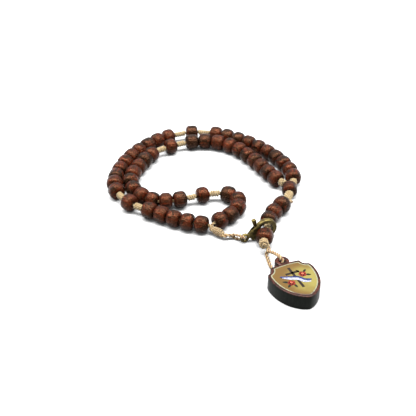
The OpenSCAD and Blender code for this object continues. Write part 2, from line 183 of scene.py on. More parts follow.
def feed(tree, node, inputs):
    """Gives a node's sockets their values, or links where a value is another socket."""
    for name, value in inputs.items():
        if isinstance(value, bpy.types.NodeSocket):
            tree.links.new(value, node.inputs[name])
        else:
            node.inputs[name].default_value = value


def add_node(tree, kind, inputs=None, **settings):
    """Adds a node: settings go on the node, inputs on its sockets."""
    node = tree.nodes.new(kind)
    for name, value in settings.items():
        setattr(node, name, value)
    feed(tree, node, inputs or {})
    return node


def new_material(name):
    """An empty material with its principled shader and its output."""
    print("material:", name)
    material = bpy.data.materials.new(name)
    material.use_nodes = True
    tree = material.node_tree
    tree.nodes.clear()
    shader = add_node(tree, "ShaderNodeBsdfPrincipled")
    add_node(tree, "ShaderNodeOutputMaterial", {"Surface": shader.outputs["BSDF"]})
    return material, tree, shader


def object_place(tree):
    """Where a point lies in its object, in metres."""
    return add_node(tree, "ShaderNodeTexCoord").outputs["Object"]


def noise(tree, place, scale, detail, **more):
    """A noise from 0 to 1, with patches about 1 / scale wide in the unit of the place."""
    inputs = {"Vector": place, "Scale": scale, "Detail": detail, **more}
    return add_node(tree, "ShaderNodeTexNoise", inputs).outputs["Fac"]


def blend_colours(tree, share, first, second):
    """Mixes two colours; each is a hex code or a socket, and it gives a socket."""
    mix = add_node(tree, "ShaderNodeMix", data_type="RGBA")
    colours = [colour(value) if isinstance(value, str) else value for value in (first, second)]
    feed(tree, mix, {0: share, 6: colours[0], 7: colours[1]})
    return mix.outputs[2]


def steps(tree, value, low, high, to_low=0.0, to_high=1.0):
    """Maps a value softly from one range to another."""
    inputs = {"Value": value, "From Min": low, "From Max": high, "To Min": to_low, "To Max": to_high}
    return add_node(tree, "ShaderNodeMapRange", inputs, interpolation_type="SMOOTHSTEP").outputs["Result"]


def add_bump(tree, shader, height, strength, distance):
    """Makes the surface uneven for the light only; the distance is in metres."""
    bump = add_node(tree, "ShaderNodeBump", {"Height": height, "Strength": strength, "Distance": distance})
    feed(tree, shader, {"Normal": bump.outputs["Normal"]})


# %% [markdown]
# ### Table top
# A plain white laminate without gloss, so the shadows are all that it shows. Its colour is a mid grey, which
# the bright room lifts to white: a paler one would throw too much light back up under the beads.

# %% White laminate
laminate, tree, shader = new_material("white_laminate")
feed(tree, shader, {"Base Color": colour("808080"), "Roughness": 0.9, "Specular IOR Level": 0.1})
floor.data.materials.append(laminate)

# %% [markdown]
# ### Waxed wood
# The beads are turned from a reddish fruit wood and waxed. Each was cut from another part of the stick, so
# one is brick red, the next nearly black, and many are both. The grain shows as fine streaks and open pores.
# Object coordinates would run one grain through all the beads. The pattern reads the attribute "grain"
# instead, which holds each bead's own coordinates in millimetres, and "tone", which says how dark the bead
# is.

# %% Waxed wood
wood, tree, shader = new_material("waxed_fruit_wood")
PORE_DARKNESS = 0.6
grain = add_node(tree, "ShaderNodeAttribute", attribute_name="grain").outputs["Vector"]
tone = add_node(tree, "ShaderNodeAttribute", attribute_name="tone").outputs["Fac"]
# Broad patches of dark heartwood, about 4 mm wide
patches = noise(tree, grain, 0.26, 2.0, Roughness=0.55, Distortion=0.6)
# Streaks 0.6 mm wide and ten times as long
along = add_node(tree, "ShaderNodeMapping", {"Vector": grain, "Scale": (1.0, 1.0, 0.1)}).outputs["Vector"]
streaks = noise(tree, along, 1.5, 4.0, Roughness=0.6, Distortion=0.25)
# Growth rings, about 1.2 mm apart
ring_wave = add_node(tree, "ShaderNodeTexWave", {
    "Vector": grain, "Scale": 0.26, "Distortion": 3.0, "Detail": 2.0, "Detail Scale": 0.6,
}, wave_type="BANDS", bands_direction="X").outputs["Fac"]
heart = add_node(tree, "ShaderNodeMath", {0: patches, 1: tone}, operation="ADD").outputs[0]
dark_share = steps(tree, heart, 0.505, 0.545)
light_share = steps(tree, streaks, 0.44, 0.62)
red = blend_colours(tree, light_share, "120401", "310e04")
red = blend_colours(tree, steps(tree, ring_wave, 0.3, 0.9, 0.0, 0.4), red, "120402")
black = blend_colours(tree, light_share, "020100", "080301")
body_colour = blend_colours(tree, dark_share, red, black)
# Open pores: short dark lines, drawn 0.15 mm wide so that they show
pore_share = steps(tree, noise(tree, along, 6.0, 1.0, Roughness=0.5), 0.60, 0.70)
pore_darkening = steps(tree, pore_share, 0.0, 1.0, 0.0, PORE_DARKNESS)
feed(tree, shader, {
    "Base Color": blend_colours(tree, pore_darkening, body_colour, "050302"),
    "Roughness": steps(tree, streaks, 0.36, 0.56, 0.45, 0.24),
    "IOR": 1.5,
    "Specular IOR Level": 0.18,
    "Specular Tint": colour("ffac7c"),
})
height = add_node(tree, "ShaderNodeMath", {0: streaks, 1: pore_share}, operation="SUBTRACT").outputs[0]
add_bump(tree, shader, height, 1.0, 0.0003)

# %% [markdown]
# ### Cream twine
# Laid cotton twine: dull, warm cream, a little darker in patches where fingers have been. The plies are
# geometry, because their shadows show, and the fibres on them are bump only. The attribute groove_shade is
# high between the plies, and there the colour is darkened as painted shade.

# %% Cream twine
twine, tree, shader = new_material("cream_cotton_twine")
place = object_place(tree)
groove_shade = add_node(tree, "ShaderNodeAttribute", attribute_name="groove_shade").outputs["Fac"]
# Patches 1.5 mm wide
mottle = noise(tree, place, 700.0, 3.0)
# Fibres, drawn 0.4 mm wide so that they show
fibres = noise(tree, place, 2600.0, 3.0, Roughness=0.7)
twine_colour = blend_colours(tree, steps(tree, mottle, 0.35, 0.65), "615333", "6f6244")
twine_colour = blend_colours(tree, steps(tree, fibres, 0.46, 0.66, 0.0, 0.6), twine_colour, "513a18")
# Painted shade: between the plies the colour darkens towards 432708
twine_colour = blend_colours(tree, steps(tree, groove_shade, 0.0, 1.0, 0.0, 0.95), twine_colour, "432708")
feed(tree, shader, {
    "Base Color": twine_colour, "Roughness": 0.8, "Specular IOR Level": 0.25, "Sheen Weight": 0.2,
})
add_bump(tree, shader, fibres, 0.6, 0.00006)

# %% [markdown]
# ## Where everything lies
# Two strands lie side by side in one loop that curls in at the front, and a short tail leaves it. A
# simulation could drop the string, but the photograph says how it lies, so each strand follows a smooth
# curve through a few chosen points: the CAD source's, moved by up to 2 mm at the back. Along each curve the
# beads and knots follow one another, each with the length that it takes.

# %% Sizes and routes, in millimetres
BEAD_R = 3.5
BEAD_LENGTH = 5.5
# The beads differ in size by a few percent, so the largest are thicker than their solids
VISUAL_R = 3.6
GAP = 0.25
PLAN_SCALE = 0.995
CENTRE = (0.25, 0.98)
# Each point is x, y and the cord's height as a share of the bead's radius
OUTER_ROUTE = [
    (3.2, -17.2, 0.75), (1.7, -16.4, 1), (-1.5, -15.6, 1), (-9, -13.4, 1), (-17.5, -8.9, 1),
    (-30.2, -1.6, 1), (-37, 7.4, 1), (-38.8, 18, 1), (-35.4, 31.6, 1), (-30, 41.7, 1), (-22.2, 50.8, 1),
    (-14.2, 55.8, 1), (-5, 58.4, 1), (6, 56.5, 1), (16.8, 50.6, 1), (25.7, 43.2, 1), (33, 33.6, 1),
    (37, 25, 1), (38.3, 20, 1), (38, 15.8, 1), (36.7, 11.8, 1),
]
INNER_ROUTE = [
    (2.7, -16, 0.85), (3.7, -15, 1), (5.9, -13.05, 1), (10.2, -9.4, 1), (13.6, -4.7, 1),
    (14.4, 1.1, 1), (13.2, 4.3, 1), (9.5, 6.0, 1), (4, 6.4, 1), (-1.4, 5.0, 1), (-10, 1.7, 1),
    (-16.7, 0.0, 1), (-22.4, 1.4, 1), (-27.1, 5.1, 1), (-31.1, 10.8, 1), (-32.1, 16.2, 1),
    (-31.2, 22.5, 1), (-28.6, 28.7, 1), (-23.9, 39, 1), (-14.6, 45.9, 1),
    (-4.5, 49.9, 1), (4, 49.5, 1), (13, 44.8, 1), (20.3, 35.4, 1), (25.6, 26, 1), (30.7, 16.9, 1),
    (34.9, 12.5, 1),
]
TAIL_ROUTE = [
    (35.9, 12.4, 1), (35.5, 6.9, 1), (34.3, 2.2, 1), (31.9, -2.4, 1), (27.5, -7.1, 1),
    (25.1, -12.3, 1.01), (24.8, -15.6, 1.1), (24.6, -18.7, 1.28), (23.6, -21.9, 1.1), (22.7, -24.8, 1),
    (22.4, -29, 1.12), (21.5, -45, 1.5),
]
# Lengths of the knots, in their order along the strand
OUTER_KNOTS = [4.2, 4.8, 5.5, 5.6, 2.8]
INNER_KNOTS = [4.4, 3.8, 5.0, 4.3, 2.6]
TAIL_KNOT, HELD_KNOT, END_KNOT = 6.9, 3.4, 3.2
# Room that the bends leave beside each bead, in the beads' order
FRONT_ROOM = [0.0, 0.2, 0.3, 0.3, 1.3]
LEFT_ROOM = [0.1, 0.1, 0, 0.45, 0.8, 0, 0.7, 0, 0.1, 0.1]
RIGHT_ROOM = [0.4, 0.5, 0.4, 0.3, 0.1, 0, -0.3, -0.3, -0.2, 0]
OUTER_FRONT_ROOM = [0] * 5
OUTER_LEFT_ROOM = [0] * 6 + [0.25] * 4
OUTER_RIGHT_ROOM = [0] * 9 + [0.4]
TAIL_ROOM = [0.15, 0.1, 0.15]
END_ROOM = [0.1]
# Bare cord before the first bead of a strand, after its last knot, and on both sides of the held knot
OUTER_LEAD, INNER_LEAD, STRAND_END = 2.1, 1.5, 1.2
HELD_LEAD, END_LEAD = 1.8, 1.2
print("points on the routes:", len(OUTER_ROUTE), len(INNER_ROUTE), len(TAIL_ROUTE))

# %% [markdown]
# ### From a few points to a curve
# The curve passes through each point, as a thin cord does, and needs no handles, as a Bezier would. The
# stops on it are the places where one bead or knot ends and the next begins.


# %% Curves and stops
def smooth(points, count):
    """A smooth curve through all the points, with count short steps between two of them."""
    points = [Vector(p) for p in points]
    last = len(points) - 1
    curve = []
    for i in range(last):
        a, b, c, d = points[max(i - 1, 0)], points[i], points[i + 1], points[min(i + 2, last)]
        for k in range(count):
            t = k / count
            curve.append((2 * b + (c - a) * t + (2 * a - 5 * b + 4 * c - d) * t ** 2
                          + (3 * b - a - 3 * c + d) * t ** 3) / 2)
    return curve + [points[last]]


def in_frame(x, y, height):
    """A point of a route in the frame, in millimetres."""
    return Vector((x * PLAN_SCALE + CENTRE[0], y * PLAN_SCALE + CENTRE[1], height * BEAD_R))


def lay(route):
    """A drawn route as the smooth curve in the frame, in millimetres."""
    return smooth([in_frame(*point) for point in route], count=8)


def measure(curve):
    """Length along the curve at each of its points."""
    lengths = [0.0]
    for a, b in zip(curve, curve[1:]):
        lengths.append(lengths[-1] + (b - a).length)
    return lengths


def points_at(curve, places):
    """The points at these lengths along the curve."""
    lengths = measure(curve)
    return [Vector([np.interp(s, lengths, [p[axis] for p in curve]) for axis in range(3)]) for s in places]


def bead_steps(room):
    """Lengths that beads take with their gaps and with the room beside them."""
    return [BEAD_LENGTH + GAP + v for v in room]


def strand_steps(knots, front, left, right):
    """Lengths along a strand: front, left and right beads, with a knot, a single bead and a knot between."""
    return (bead_steps(front) + [knots[0] + GAP] + bead_steps([0]) + [knots[1] + GAP] + bead_steps(left)
            + [knots[2] + GAP] + bead_steps([0]) + [knots[3] + GAP] + bead_steps(right) + [knots[4] + GAP])


def strand_stops(curve, steps_on_it, lead, end):
    """The points between neighbours. What length is left over is shared out evenly."""
    slack = (measure(curve)[-1] - lead - end - sum(steps_on_it)) / len(steps_on_it)
    return points_at(curve, [lead] + [lead + v for v in np.cumsum([s + slack for s in steps_on_it])])


outer_curve, inner_curve, tail_curve = lay(OUTER_ROUTE), lay(INNER_ROUTE), lay(TAIL_ROUTE)
outer_steps = strand_steps(OUTER_KNOTS, OUTER_FRONT_ROOM, OUTER_LEFT_ROOM, OUTER_RIGHT_ROOM)
inner_steps = strand_steps(INNER_KNOTS, FRONT_ROOM, LEFT_ROOM, RIGHT_ROOM)
tail_steps = (bead_steps([0]) + [TAIL_KNOT + 1.5 * GAP] + bead_steps(TAIL_ROOM)
              + [HELD_LEAD, HELD_KNOT, END_LEAD] + bead_steps(END_ROOM) + [END_KNOT + GAP])
outer_stops = strand_stops(outer_curve, outer_steps, OUTER_LEAD, STRAND_END)
inner_stops = strand_stops(inner_curve, inner_steps, INNER_LEAD, STRAND_END)
tail_stops = points_at(tail_curve, [0] + list(np.cumsum(tail_steps)))
print("strands, mm:", [round(measure(curve)[-1], 1) for curve in (outer_curve, inner_curve, tail_curve)])

# %% [markdown]
# ## Beads
# A turned bead is a body of revolution: a barrel with soft shoulders and a bore with a broken edge. It is
# raised from a circle, ring by ring, with extrude and resize, as on a lathe; a spin would need its profile
# drawn as edges first. Three models differ in their shoulders and in whether their belly is drawn in.


# %% Raise a turned form
def turned(name, profile, sides):
    """Raises rings of (radius, height) in millimetres from a circle, and bridges the last to the first."""
    deselect_all()
    radius, height = profile[0]
    bpy.ops.mesh.primitive_circle_add(vertices=sides, radius=radius * MM, location=(0, 0, height * MM))
    piece = bpy.context.object
    piece.name = name
    bpy.ops.object.transform_apply(location=True, rotation=False, scale=False)
    bpy.ops.object.mode_set(mode="EDIT")
    bpy.ops.mesh.select_all(action="SELECT")
    for next_radius, next_height in profile[1:]:
        bpy.ops.mesh.extrude_edges_move(TRANSFORM_OT_translate={"value": (0, 0, (next_height - height) * MM)})
        grow = next_radius / radius
        bpy.ops.transform.resize(value=(grow, grow, 1), center_override=(0, 0, 0))
        radius, height = next_radius, next_height
    bpy.ops.mesh.select_all(action="DESELECT")
    bpy.ops.mesh.select_mode(type="EDGE")
    bpy.ops.mesh.select_non_manifold()
    bpy.ops.mesh.bridge_edge_loops()
    bpy.ops.mesh.select_all(action="SELECT")
    bpy.ops.mesh.normals_make_consistent(inside=False)
    bpy.ops.object.mode_set(mode="OBJECT")
    return piece


# %% [markdown]
# ### Three models
# The belly is an oval whose corners are filled out by a power, which sets how square the shoulders are. A
# lattice could square them as well, but one number is easier to try out.

# %% Model three beads
BEAD_SIDES = 28
# Radius and height of the bore's rings at one end: inside the bore, and over its broken edge
BORE_RIM = [(0.85, -2.0), (0.86, -2.52), (1.0, -2.66)]


def bead_profile(squareness, waist):
    """Rings of a bead, from inside the bore over the rim, round the belly and back into the bore."""
    power = 2 / squareness
    side = []
    for k in range(11):
        a = math.radians(20 + k * 14)
        radius = VISUAL_R * math.sin(a) ** power - waist * math.sin(a) ** 8
        rise = -BEAD_LENGTH / 2 * math.copysign(abs(math.cos(a)) ** power, math.cos(a))
        side.append((radius, rise))
    return BORE_RIM + side + [(r, -h) for r, h in reversed(BORE_RIM)]


def model_bead(name, squareness, waist):
    """One bead at the origin, bored along Z, with its faces halved once and shaded smooth."""
    bead = turned(name, bead_profile(squareness, waist), BEAD_SIDES)
    apply_modifier(bead, "SUBSURF", levels=1, render_levels=1)
    for polygon in bead.data.polygons:
        polygon.use_smooth = True
    return bead


bead_models = [
    model_bead("bead_round", 2.7, 0.0),
    model_bead("bead_barrel", 3.1, 0.0),
    model_bead("bead_waisted", 3.3, 0.12),
]
print("faces on a bead:", len(bead_models[0].data.polygons))


# %% [markdown]
# ### Thread the beads
# Each bead is a copy with its own mesh, roll, grain and tone, so that no two are alike. A small Displace on
# each finished run makes the surfaces uneven, as hand cutting does; sculpting 59 beads would take much
# longer.


# %% Place one bead
dice = random.Random(7)
TONE_LOW, TONE_HIGH = -0.09, 0.07
GRAIN_LEANS = [0.1, 0.25, 1.45]
# A bead leaves this much of its room free, and a share of what is beyond a usual room
BEAD_CLEARANCE = 0.02
USUAL_ROOM = 6.0
SHARE_LEFT_FREE = 0.3


def to_place(start, end, roll=0.0):
    """The matrix that puts a form drawn along +Z, with its middle at the origin, between two points."""
    axis = (Vector(end) - Vector(start)).normalized()
    turn = axis.to_track_quat("Z", "Y").to_matrix().to_4x4() @ Matrix.Rotation(roll, 4, "Z")
    return Matrix.Translation((Vector(start) + Vector(end)) / 2 * MM) @ turn


def place_bead(start, end, size):
    """One bead between two stops; it fills the length between them."""
    model = dice.choice(bead_models)
    bead = model.copy()
    bead.data = model.data.copy()
    bpy.context.collection.objects.link(bead)
    mesh = bead.data
    co = np.zeros(len(mesh.vertices) * 3, np.float32)
    mesh.vertices.foreach_get("co", co)
    # On average two beads of three have their grain nearly along the bore, and the third has it across
    lean = Matrix.Rotation(dice.choice(GRAIN_LEANS) + dice.uniform(-0.2, 0.2), 3, "X")
    spin = Matrix.Rotation(dice.uniform(0, math.tau), 3, "Z")
    offset = np.array([dice.uniform(-50, 50) for _ in range(3)])
    own = co.reshape(-1, 3) / MM @ np.array(spin @ lean) + offset
    grain_data = mesh.attributes.new("grain", "FLOAT_VECTOR", "POINT").data
    grain_data.foreach_set("vector", own.astype(np.float32).ravel())
    tone_data = mesh.attributes.new("tone", "FLOAT", "POINT").data
    tone_data.foreach_set("value", np.full(len(mesh.vertices), dice.uniform(TONE_LOW, TONE_HIGH), np.float32))
    room = (end - start).length
    stretch = (room - BEAD_CLEARANCE - SHARE_LEFT_FREE * max(room - USUAL_ROOM, 0)) / BEAD_LENGTH
    size *= dice.uniform(0.97, 1.0)
    shape = Matrix.Diagonal((size, size, stretch, 1))
    mesh.transform(to_place(start, end, dice.uniform(0, math.tau)) @ shape)
    mesh.transform(Matrix.Translation((0, 0, (size * VISUAL_R - BEAD_R) * MM)))
    return bead


# %% [markdown]
# ### The runs
# A run of beads is one piece, as it is one node of the CAD model. Loops thread the runs of both strands
# alike; the beads of the tail get smaller towards the clasp, as in the photograph.


# %% Make the runs
UNEVENNESS = 0.0003
unevenness = bpy.data.textures.new("hand_cut", "CLOUDS")
unevenness.noise_scale = 0.004
unevenness.noise_depth = 2


def thread_beads(name, node, stops, first, count=1, size=1.0):
    """A run of beads as one piece, from a stop on."""
    print(name, "has beads:", count)
    beads = [place_bead(stops[k], stops[k + 1], size) for k in range(first, first + count)]
    run = join(name, beads)
    apply_modifier(run, "DISPLACE", texture=unevenness, texture_coords="LOCAL",
                   strength=UNEVENNESS, mid_level=0.5)
    run.data.materials.clear()
    run.data.materials.append(wood)
    return hand_over(run, "rosary", "wood", node)


# Side, first stop and number of beads, the same on both strands
RUNS = [("front", 0, 5), ("left", 8, 10), ("right", 21, 10)]
STRANDS = [("outer", outer_stops), ("inner", inner_stops)]
for strand, stops in STRANDS:
    for side, first, count in RUNS:
        thread_beads(f"beads_{side}_{strand}", f"bead_string_{side}_{strand}", stops, first, count)
SINGLES = [(stops, place) for strand, stops in STRANDS for place in (6, 19)]
for number, (stops, place) in enumerate(SINGLES, 1):
    thread_beads(f"single_bead_{number}", f"main_bead_{number}", stops, place)
thread_beads("bead_where_strands_meet", "junction_bead", tail_stops, 0, size=0.99)
for k, size in enumerate((1.07, 1.0, 0.98)):
    thread_beads(f"bead_tail_{k + 1}", f"tail_bead_{k + 1}", tail_stops, 2 + k, size=size)
thread_beads("bead_at_end", "end_bead", tail_stops, 8)
for model in bead_models:
    bpy.data.objects.remove(model)

# %% [markdown]
# ## Cords
# The strands are laid twine of three plies, and the two loops are of two. Small circles are wound upwards by
# a Screw modifier, which gives the straight twine, and a Curve modifier then lays it along its route. That
# keeps the twist even on every bend, which a curve with a plain bevel can't show.


# %% Make twine along a route
# The twine's thickness as a multiple of a ply's radius, for each number of plies
PLY_SHARE = {3: 4.25, 2: 3.8}
# The painted groove shade starts inside this share of the twine's radius
CREST = 0.98


def drawn_line(name, points):
    """A curve with straight pieces through these points, in metres."""
    path = bpy.data.curves.new(name, "CURVE")
    path.dimensions = "3D"
    spline = path.splines.new("POLY")
    spline.points.add(len(points) - 1)
    for point, (x, y, z) in zip(spline.points, points):
        point.co = (x, y, z, 1)
    line = bpy.data.objects.new(name, path)
    bpy.context.collection.objects.link(line)
    return line


# groove_shade_gain sets how strongly painted shade darkens the colour between the plies
def twisted(name, route, thickness, lay_length, sides=7, steps_per_turn=11, groove_shade_gain=4.5, plies=3):
    """Laid twine along a route of points in millimetres, of three plies or of two."""
    length = measure(route)[-1]
    turns = max(1, round(length / lay_length))
    ply_r = thickness / PLY_SHARE[plies]
    offset = (thickness / 2 - ply_r) * MM
    deselect_all()
    circles = []
    for k in range(plies):
        angle = k * math.tau / plies
        centre = (offset * math.cos(angle), offset * math.sin(angle), 0)
        bpy.ops.mesh.primitive_circle_add(vertices=sides, radius=ply_r * MM, location=centre)
        circles.append(bpy.context.object)
    piece = join(name, circles)
    bpy.ops.object.transform_apply(location=True, rotation=True, scale=True)
    apply_modifier(piece, "SCREW", axis="Z", angle=math.tau, screw_offset=length / turns * MM,
                   iterations=turns, steps=steps_per_turn, render_steps=steps_per_turn,
                   use_merge_vertices=False, use_normal_calculate=False, use_smooth_shade=True)
    # How deep each point lies between the plies, from 0 on the crest to 1 at the axis, which sets the painted
    # shade there
    depth = [min(1.0, max(0.0, CREST - math.hypot(v.co.x, v.co.y) / (thickness / 2 * MM)) * groove_shade_gain)
             for v in piece.data.vertices]
    piece.data.attributes.new("groove_shade", "FLOAT", "POINT").data.foreach_set("value", depth)
    guide = drawn_line("route", [Vector(p) * MM for p in route])
    guide.data.twist_mode = "MINIMUM"
    apply_modifier(piece, "CURVE", object=guide, deform_axis="POS_Z")
    bpy.data.objects.remove(guide)
    bpy.ops.object.mode_set(mode="EDIT")
    bpy.ops.mesh.select_all(action="SELECT")
    bpy.ops.mesh.remove_doubles(threshold=0.000001)
    bpy.ops.mesh.fill_holes(sides=sides)
    bpy.ops.mesh.select_all(action="SELECT")
    bpy.ops.mesh.normals_make_consistent(inside=False)
    bpy.ops.object.mode_set(mode="OBJECT")
    for polygon in piece.data.polygons:
        polygon.use_smooth = True
    piece.data.materials.append(twine)
    return piece


# %% [markdown]
# ### The strands and the tail
# Each strand runs straight through its beads, and its ends lie beside the other strand's in the joining knot
# and in the junction bead. The tail runs from that bead to the end knot. All of this follows from the stops,
# so no further curve has to be drawn.

# %% Lay the strands and the tail
CORD = 1.3
CORD_LAY = 3.6
# Half the distance between two cords side by side, and how far a cord's end reaches into a bead or knot
PAIR = 0.6
SEAT = 0.9
# The strands come together this far before the junction bead
LEAD_IN = 0.4
# The end knot is thick, so both its ends lie above the tail's line
LIFT_START, LIFT_END = 0.3, 0.6
up = Vector((0, 0, 1))
joining_start, joining_end = in_frame(2.8, -17.1, 0.68), in_frame(7.5, -20.7, 0.54)
joining_axis = (joining_end - joining_start).normalized()
joining_side = joining_axis.cross(up).normalized()
junction_axis = (tail_stops[1] - tail_stops[0]).normalized()
junction_side = junction_axis.cross(up).normalized()
end_knot_start = tail_stops[9] + Vector((0, 0, LIFT_START))
end_knot_end = tail_stops[10] + Vector((0, 0, LIFT_END))
end_axis = (end_knot_end - end_knot_start).normalized()


def strand_route(stops, way, turn):
    """The cord of one strand: straight in each bead, with its ends beside the other strand's ends."""
    points = [joining_start + SEAT * joining_axis + way * PAIR * joining_side,
              joining_start + way * PAIR * joining_side]
    points += turn + stops
    points += [tail_stops[0] - LEAD_IN * junction_axis - way * PAIR * junction_side,
               tail_stops[0] + SEAT * junction_axis - way * PAIR * junction_side]
    return smooth(points, count=4)


def lay_twine(name, node, route, thickness=CORD, lay_length=CORD_LAY, plies=3):
    """Twine along a route, riding on the rosary body and standing for a CAD node."""
    piece = twisted(name, route, thickness, lay_length, plies=plies)
    print(name, "runs for", round(measure(route)[-1], 1), "mm")
    return hand_over(piece, "rosary", "cord", node)


lay_twine("twine_outer", "outer_cord", strand_route(outer_stops, 1, []))
lay_twine("twine_inner", "inner_cord", strand_route(inner_stops, -1, [inner_curve[0]]))
tail_points = [tail_stops[0] + (SEAT + 0.1) * junction_axis] + tail_stops[1:10]
lay_twine("twine_tail", "tail_cord", smooth(tail_points + [end_knot_start + SEAT * end_axis], count=4))

# %% [markdown]
# ### The loop through the clasp's eye
# A short loop of cord leaves the joining knot, goes through the eye and comes back. A plain ring would hang
# free of the eye; this one is drawn through listed points and lies against it, as a pulled cord does. Points
# near the eye are given in the clasp's directions, those near the knot in the knot's.

# %% The loop through the clasp's eye
LOOP_LAY = 3.4
clasp_turn = math.radians(20)
clasp_dir = Vector((math.cos(clasp_turn), math.sin(clasp_turn), 0))
clasp_back = Vector((-math.sin(clasp_turn), math.cos(clasp_turn), 0))
# In the clasp's plane: the middles of the eye and of the hook, and how far they are apart
EYE_AT = Vector((0, 2.0))
HOOK_R = 4.3
CLASP_REACH = 8.9
HOOK_AT = Vector((math.sqrt(CLASP_REACH ** 2 - (HOOK_R - EYE_AT.y) ** 2), HOOK_R))
# The held knot lies this far beyond the hook's middle and behind the clasp's plane
HELD_BEYOND, HELD_BEHIND = 1, 0.5
held_at = (tail_stops[6] + tail_stops[7]) / 2
clasp_at = (Vector((held_at.x, held_at.y, 0))
            - (HOOK_AT.x + HELD_BEYOND) * clasp_dir - HELD_BEHIND * clasp_back)


def by_eye(x, y, back):
    """A point from the eye's middle: along the clasp, upwards and backwards."""
    return clasp_at + (EYE_AT.x + x) * clasp_dir + (EYE_AT.y + y) * up + back * clasp_back


def by_joining(along, side, rise):
    """A point from the joining knot's end: along the knot, sideways and upwards."""
    return joining_end + along * joining_axis + side * joining_side + rise * up


clasp_loop = [
    by_joining(-SEAT, PAIR, 0), by_joining(0.3, PAIR, 0), by_eye(-3.9, 0.1, 3.3),
    by_eye(-2.4, 0.55, 2.05), by_eye(-1.8, 1.15, 0.6), by_eye(-1.35, 1.2, -0.6), by_eye(-0.75, 0.75, -1.0),
    by_eye(-0.1, 0.1, -0.4), by_eye(0.15, -0.1, 0.4), by_eye(-0.1, -0.5, 1.1),
    by_eye(-0.8, -0.95, 1.35), by_eye(-1.6, -1.25, 1.5), by_eye(-2.5, -1.35, 2.5), by_eye(-3.7, -1.1, 3.9),
    by_joining(0.3, -PAIR, 0), by_joining(-SEAT, -PAIR, 0),
]
lay_twine("twine_clasp_loop", "clasp_cord", smooth(clasp_loop, count=6), CORD + 0.1, LOOP_LAY, plies=2)
print("clasp at, mm:", [round(v, 2) for v in clasp_at], "hook's middle:", [round(v, 2) for v in HOOK_AT])

# %% [markdown]
# ### The loop through the pendant's lug
# This loop leaves the end knot, drops through the lug's upright hole, and comes back on the table. A
# simulation would let it fall in some way of its own; drawn through listed points, it lies as in the
# photograph.

# %% The loop through the pendant's lug
end_knot_centre = (end_knot_start + end_knot_end) / 2
pendant_turn = math.radians(24)
pendant_at = Vector((29.23, -42.26, 0))
SHIELD_T = 6.0
LUG_AT = Vector((0.5, 2.8, 0))
LUG_LIFT, LUG_T = 1.5, 3.9
lug_world = pendant_at + Matrix.Rotation(pendant_turn, 3, "Z") @ LUG_AT
lug_top = LUG_LIFT + LUG_T
# Height of the cord's line where it lies on the table
floor_run = CORD / 2 + 0.15
cord_exit = Vector((0.7, -0.4, -0.55)).normalized()
exit_side = cord_exit.cross(Vector((0.4, -0.2, 1))).normalized()


def by_exit(along, side):
    """A point from the end knot's middle: along the way on which the cord leaves it, and sideways."""
    return end_knot_centre + along * cord_exit + side * exit_side


def by_lug(x, y, z):
    """A point from the table under the lug's middle."""
    return lug_world + Vector((x, y, z))


pendant_loop = [
    by_exit(1.25, -0.5), by_exit(2.6, -0.4), by_lug(-4.45, 9.3, 2.75), by_lug(-2.6, 6.7, 3.8),
    by_lug(-1.3, 3.7, 5.0), by_lug(-0.5, 1.1, lug_top + 0.62), by_lug(0, 0.05, lug_top - 0.4),
    by_lug(0, 0, LUG_LIFT + 0.6), by_lug(-0.3, 0.25, floor_run), by_lug(-1.5, 0.4, floor_run),
    by_lug(-3.1, 0.9, floor_run), by_lug(-4.0, 3.2, floor_run), by_lug(-4.5, 6.4, floor_run),
    by_lug(-4.9, 8.9, 1.3), by_exit(2.6, 0.4), by_exit(1.25, 0.5),
]
lay_twine("twine_pendant_loop", "pendant_cord", smooth(pendant_loop, count=6), CORD + 0.32, LOOP_LAY, plies=2)

# %% [markdown]
# ## Knots
# Each knot is a barrel knot: the twine winds round itself, turn against turn, and its ends go back in. A
# ribbed cylinder would be lighter, but its outline would be too even. Here a helix is laid round the cord's
# line, drawn in where it starts and ends, and the same twine follows it.


# %% Wind a knot
POINTS_PER_TURN = 16
# Neighbouring turns press into each other a little
TURN_SPACING = 0.96
FEWEST_TURNS = 1.6
# Points of the helix that draw its ends in, and those that close a coiled end
TUCK, CLOSING = 5, 24
KNOT_LAY = 2.6
# Radians of roll for each letter of a knot's name, so that not all knots show the same side
ROLL_PER_LETTER = 0.6
# How far a coiled end bulges out
DOME_RISE = 1.1


# groove_shade_gain sets how strongly painted shade darkens the grooves of the knot's twine
def wind(name, node, start, end, outer_d, length, thread=1.0, belly=0.0, closed=False, groove_shade_gain=2.2):
    """A barrel knot between two stops; belly thickens its middle, and closed coils its far end shut."""
    turns = max(FEWEST_TURNS, (length - thread) / (thread * TURN_SPACING))
    reach = length - thread
    place = to_place(start, end, ROLL_PER_LETTER * len(name))
    route = []
    count = int(turns * POINTS_PER_TURN)
    past = CLOSING if closed else TUCK
    for k in range(-TUCK, count + past + 1):
        t = min(max(k / count, 0), 1)
        outside = max(-k / TUCK, (k - count) / past, 0)
        radius = outer_d / 2 - thread / 2 - belly * abs(2 * t - 1) ** 2.2
        dome = outside * math.pi / 2 if closed and k > 0 else 0.0
        radius *= math.cos(0.9 * dome) if dome else 1 - 0.75 * outside ** 1.5
        angle = k / POINTS_PER_TURN * math.tau
        rise = (t - 0.5) * reach + DOME_RISE * math.sin(dome)
        route.append(place @ (Vector((radius * math.cos(angle), radius * math.sin(angle), rise)) * MM) / MM)
    print(name, "has turns:", round(turns, 1))
    knot = twisted(name, route, thread, KNOT_LAY, sides=6, steps_per_turn=9, groove_shade_gain=groove_shade_gain)
    return hand_over(knot, "rosary", "cord", node)


# %% [markdown]
# ### Which knots there are
# Five knots on each strand part its runs of beads and differ slightly in thickness. Then come the long knot
# of the tail with its cut end, the knot in the hook, the end knot, which is coiled shut, and the joining
# knot, which is thickest in its middle.

# %% Make the knots
KNOT_PLACES = [5, 7, 18, 20, 31]
OUTER_D = [3.0, 3.0, 2.7, 2.7, 3.5]
INNER_D = [3.0, 2.8, 2.9, 2.8, 3.6]
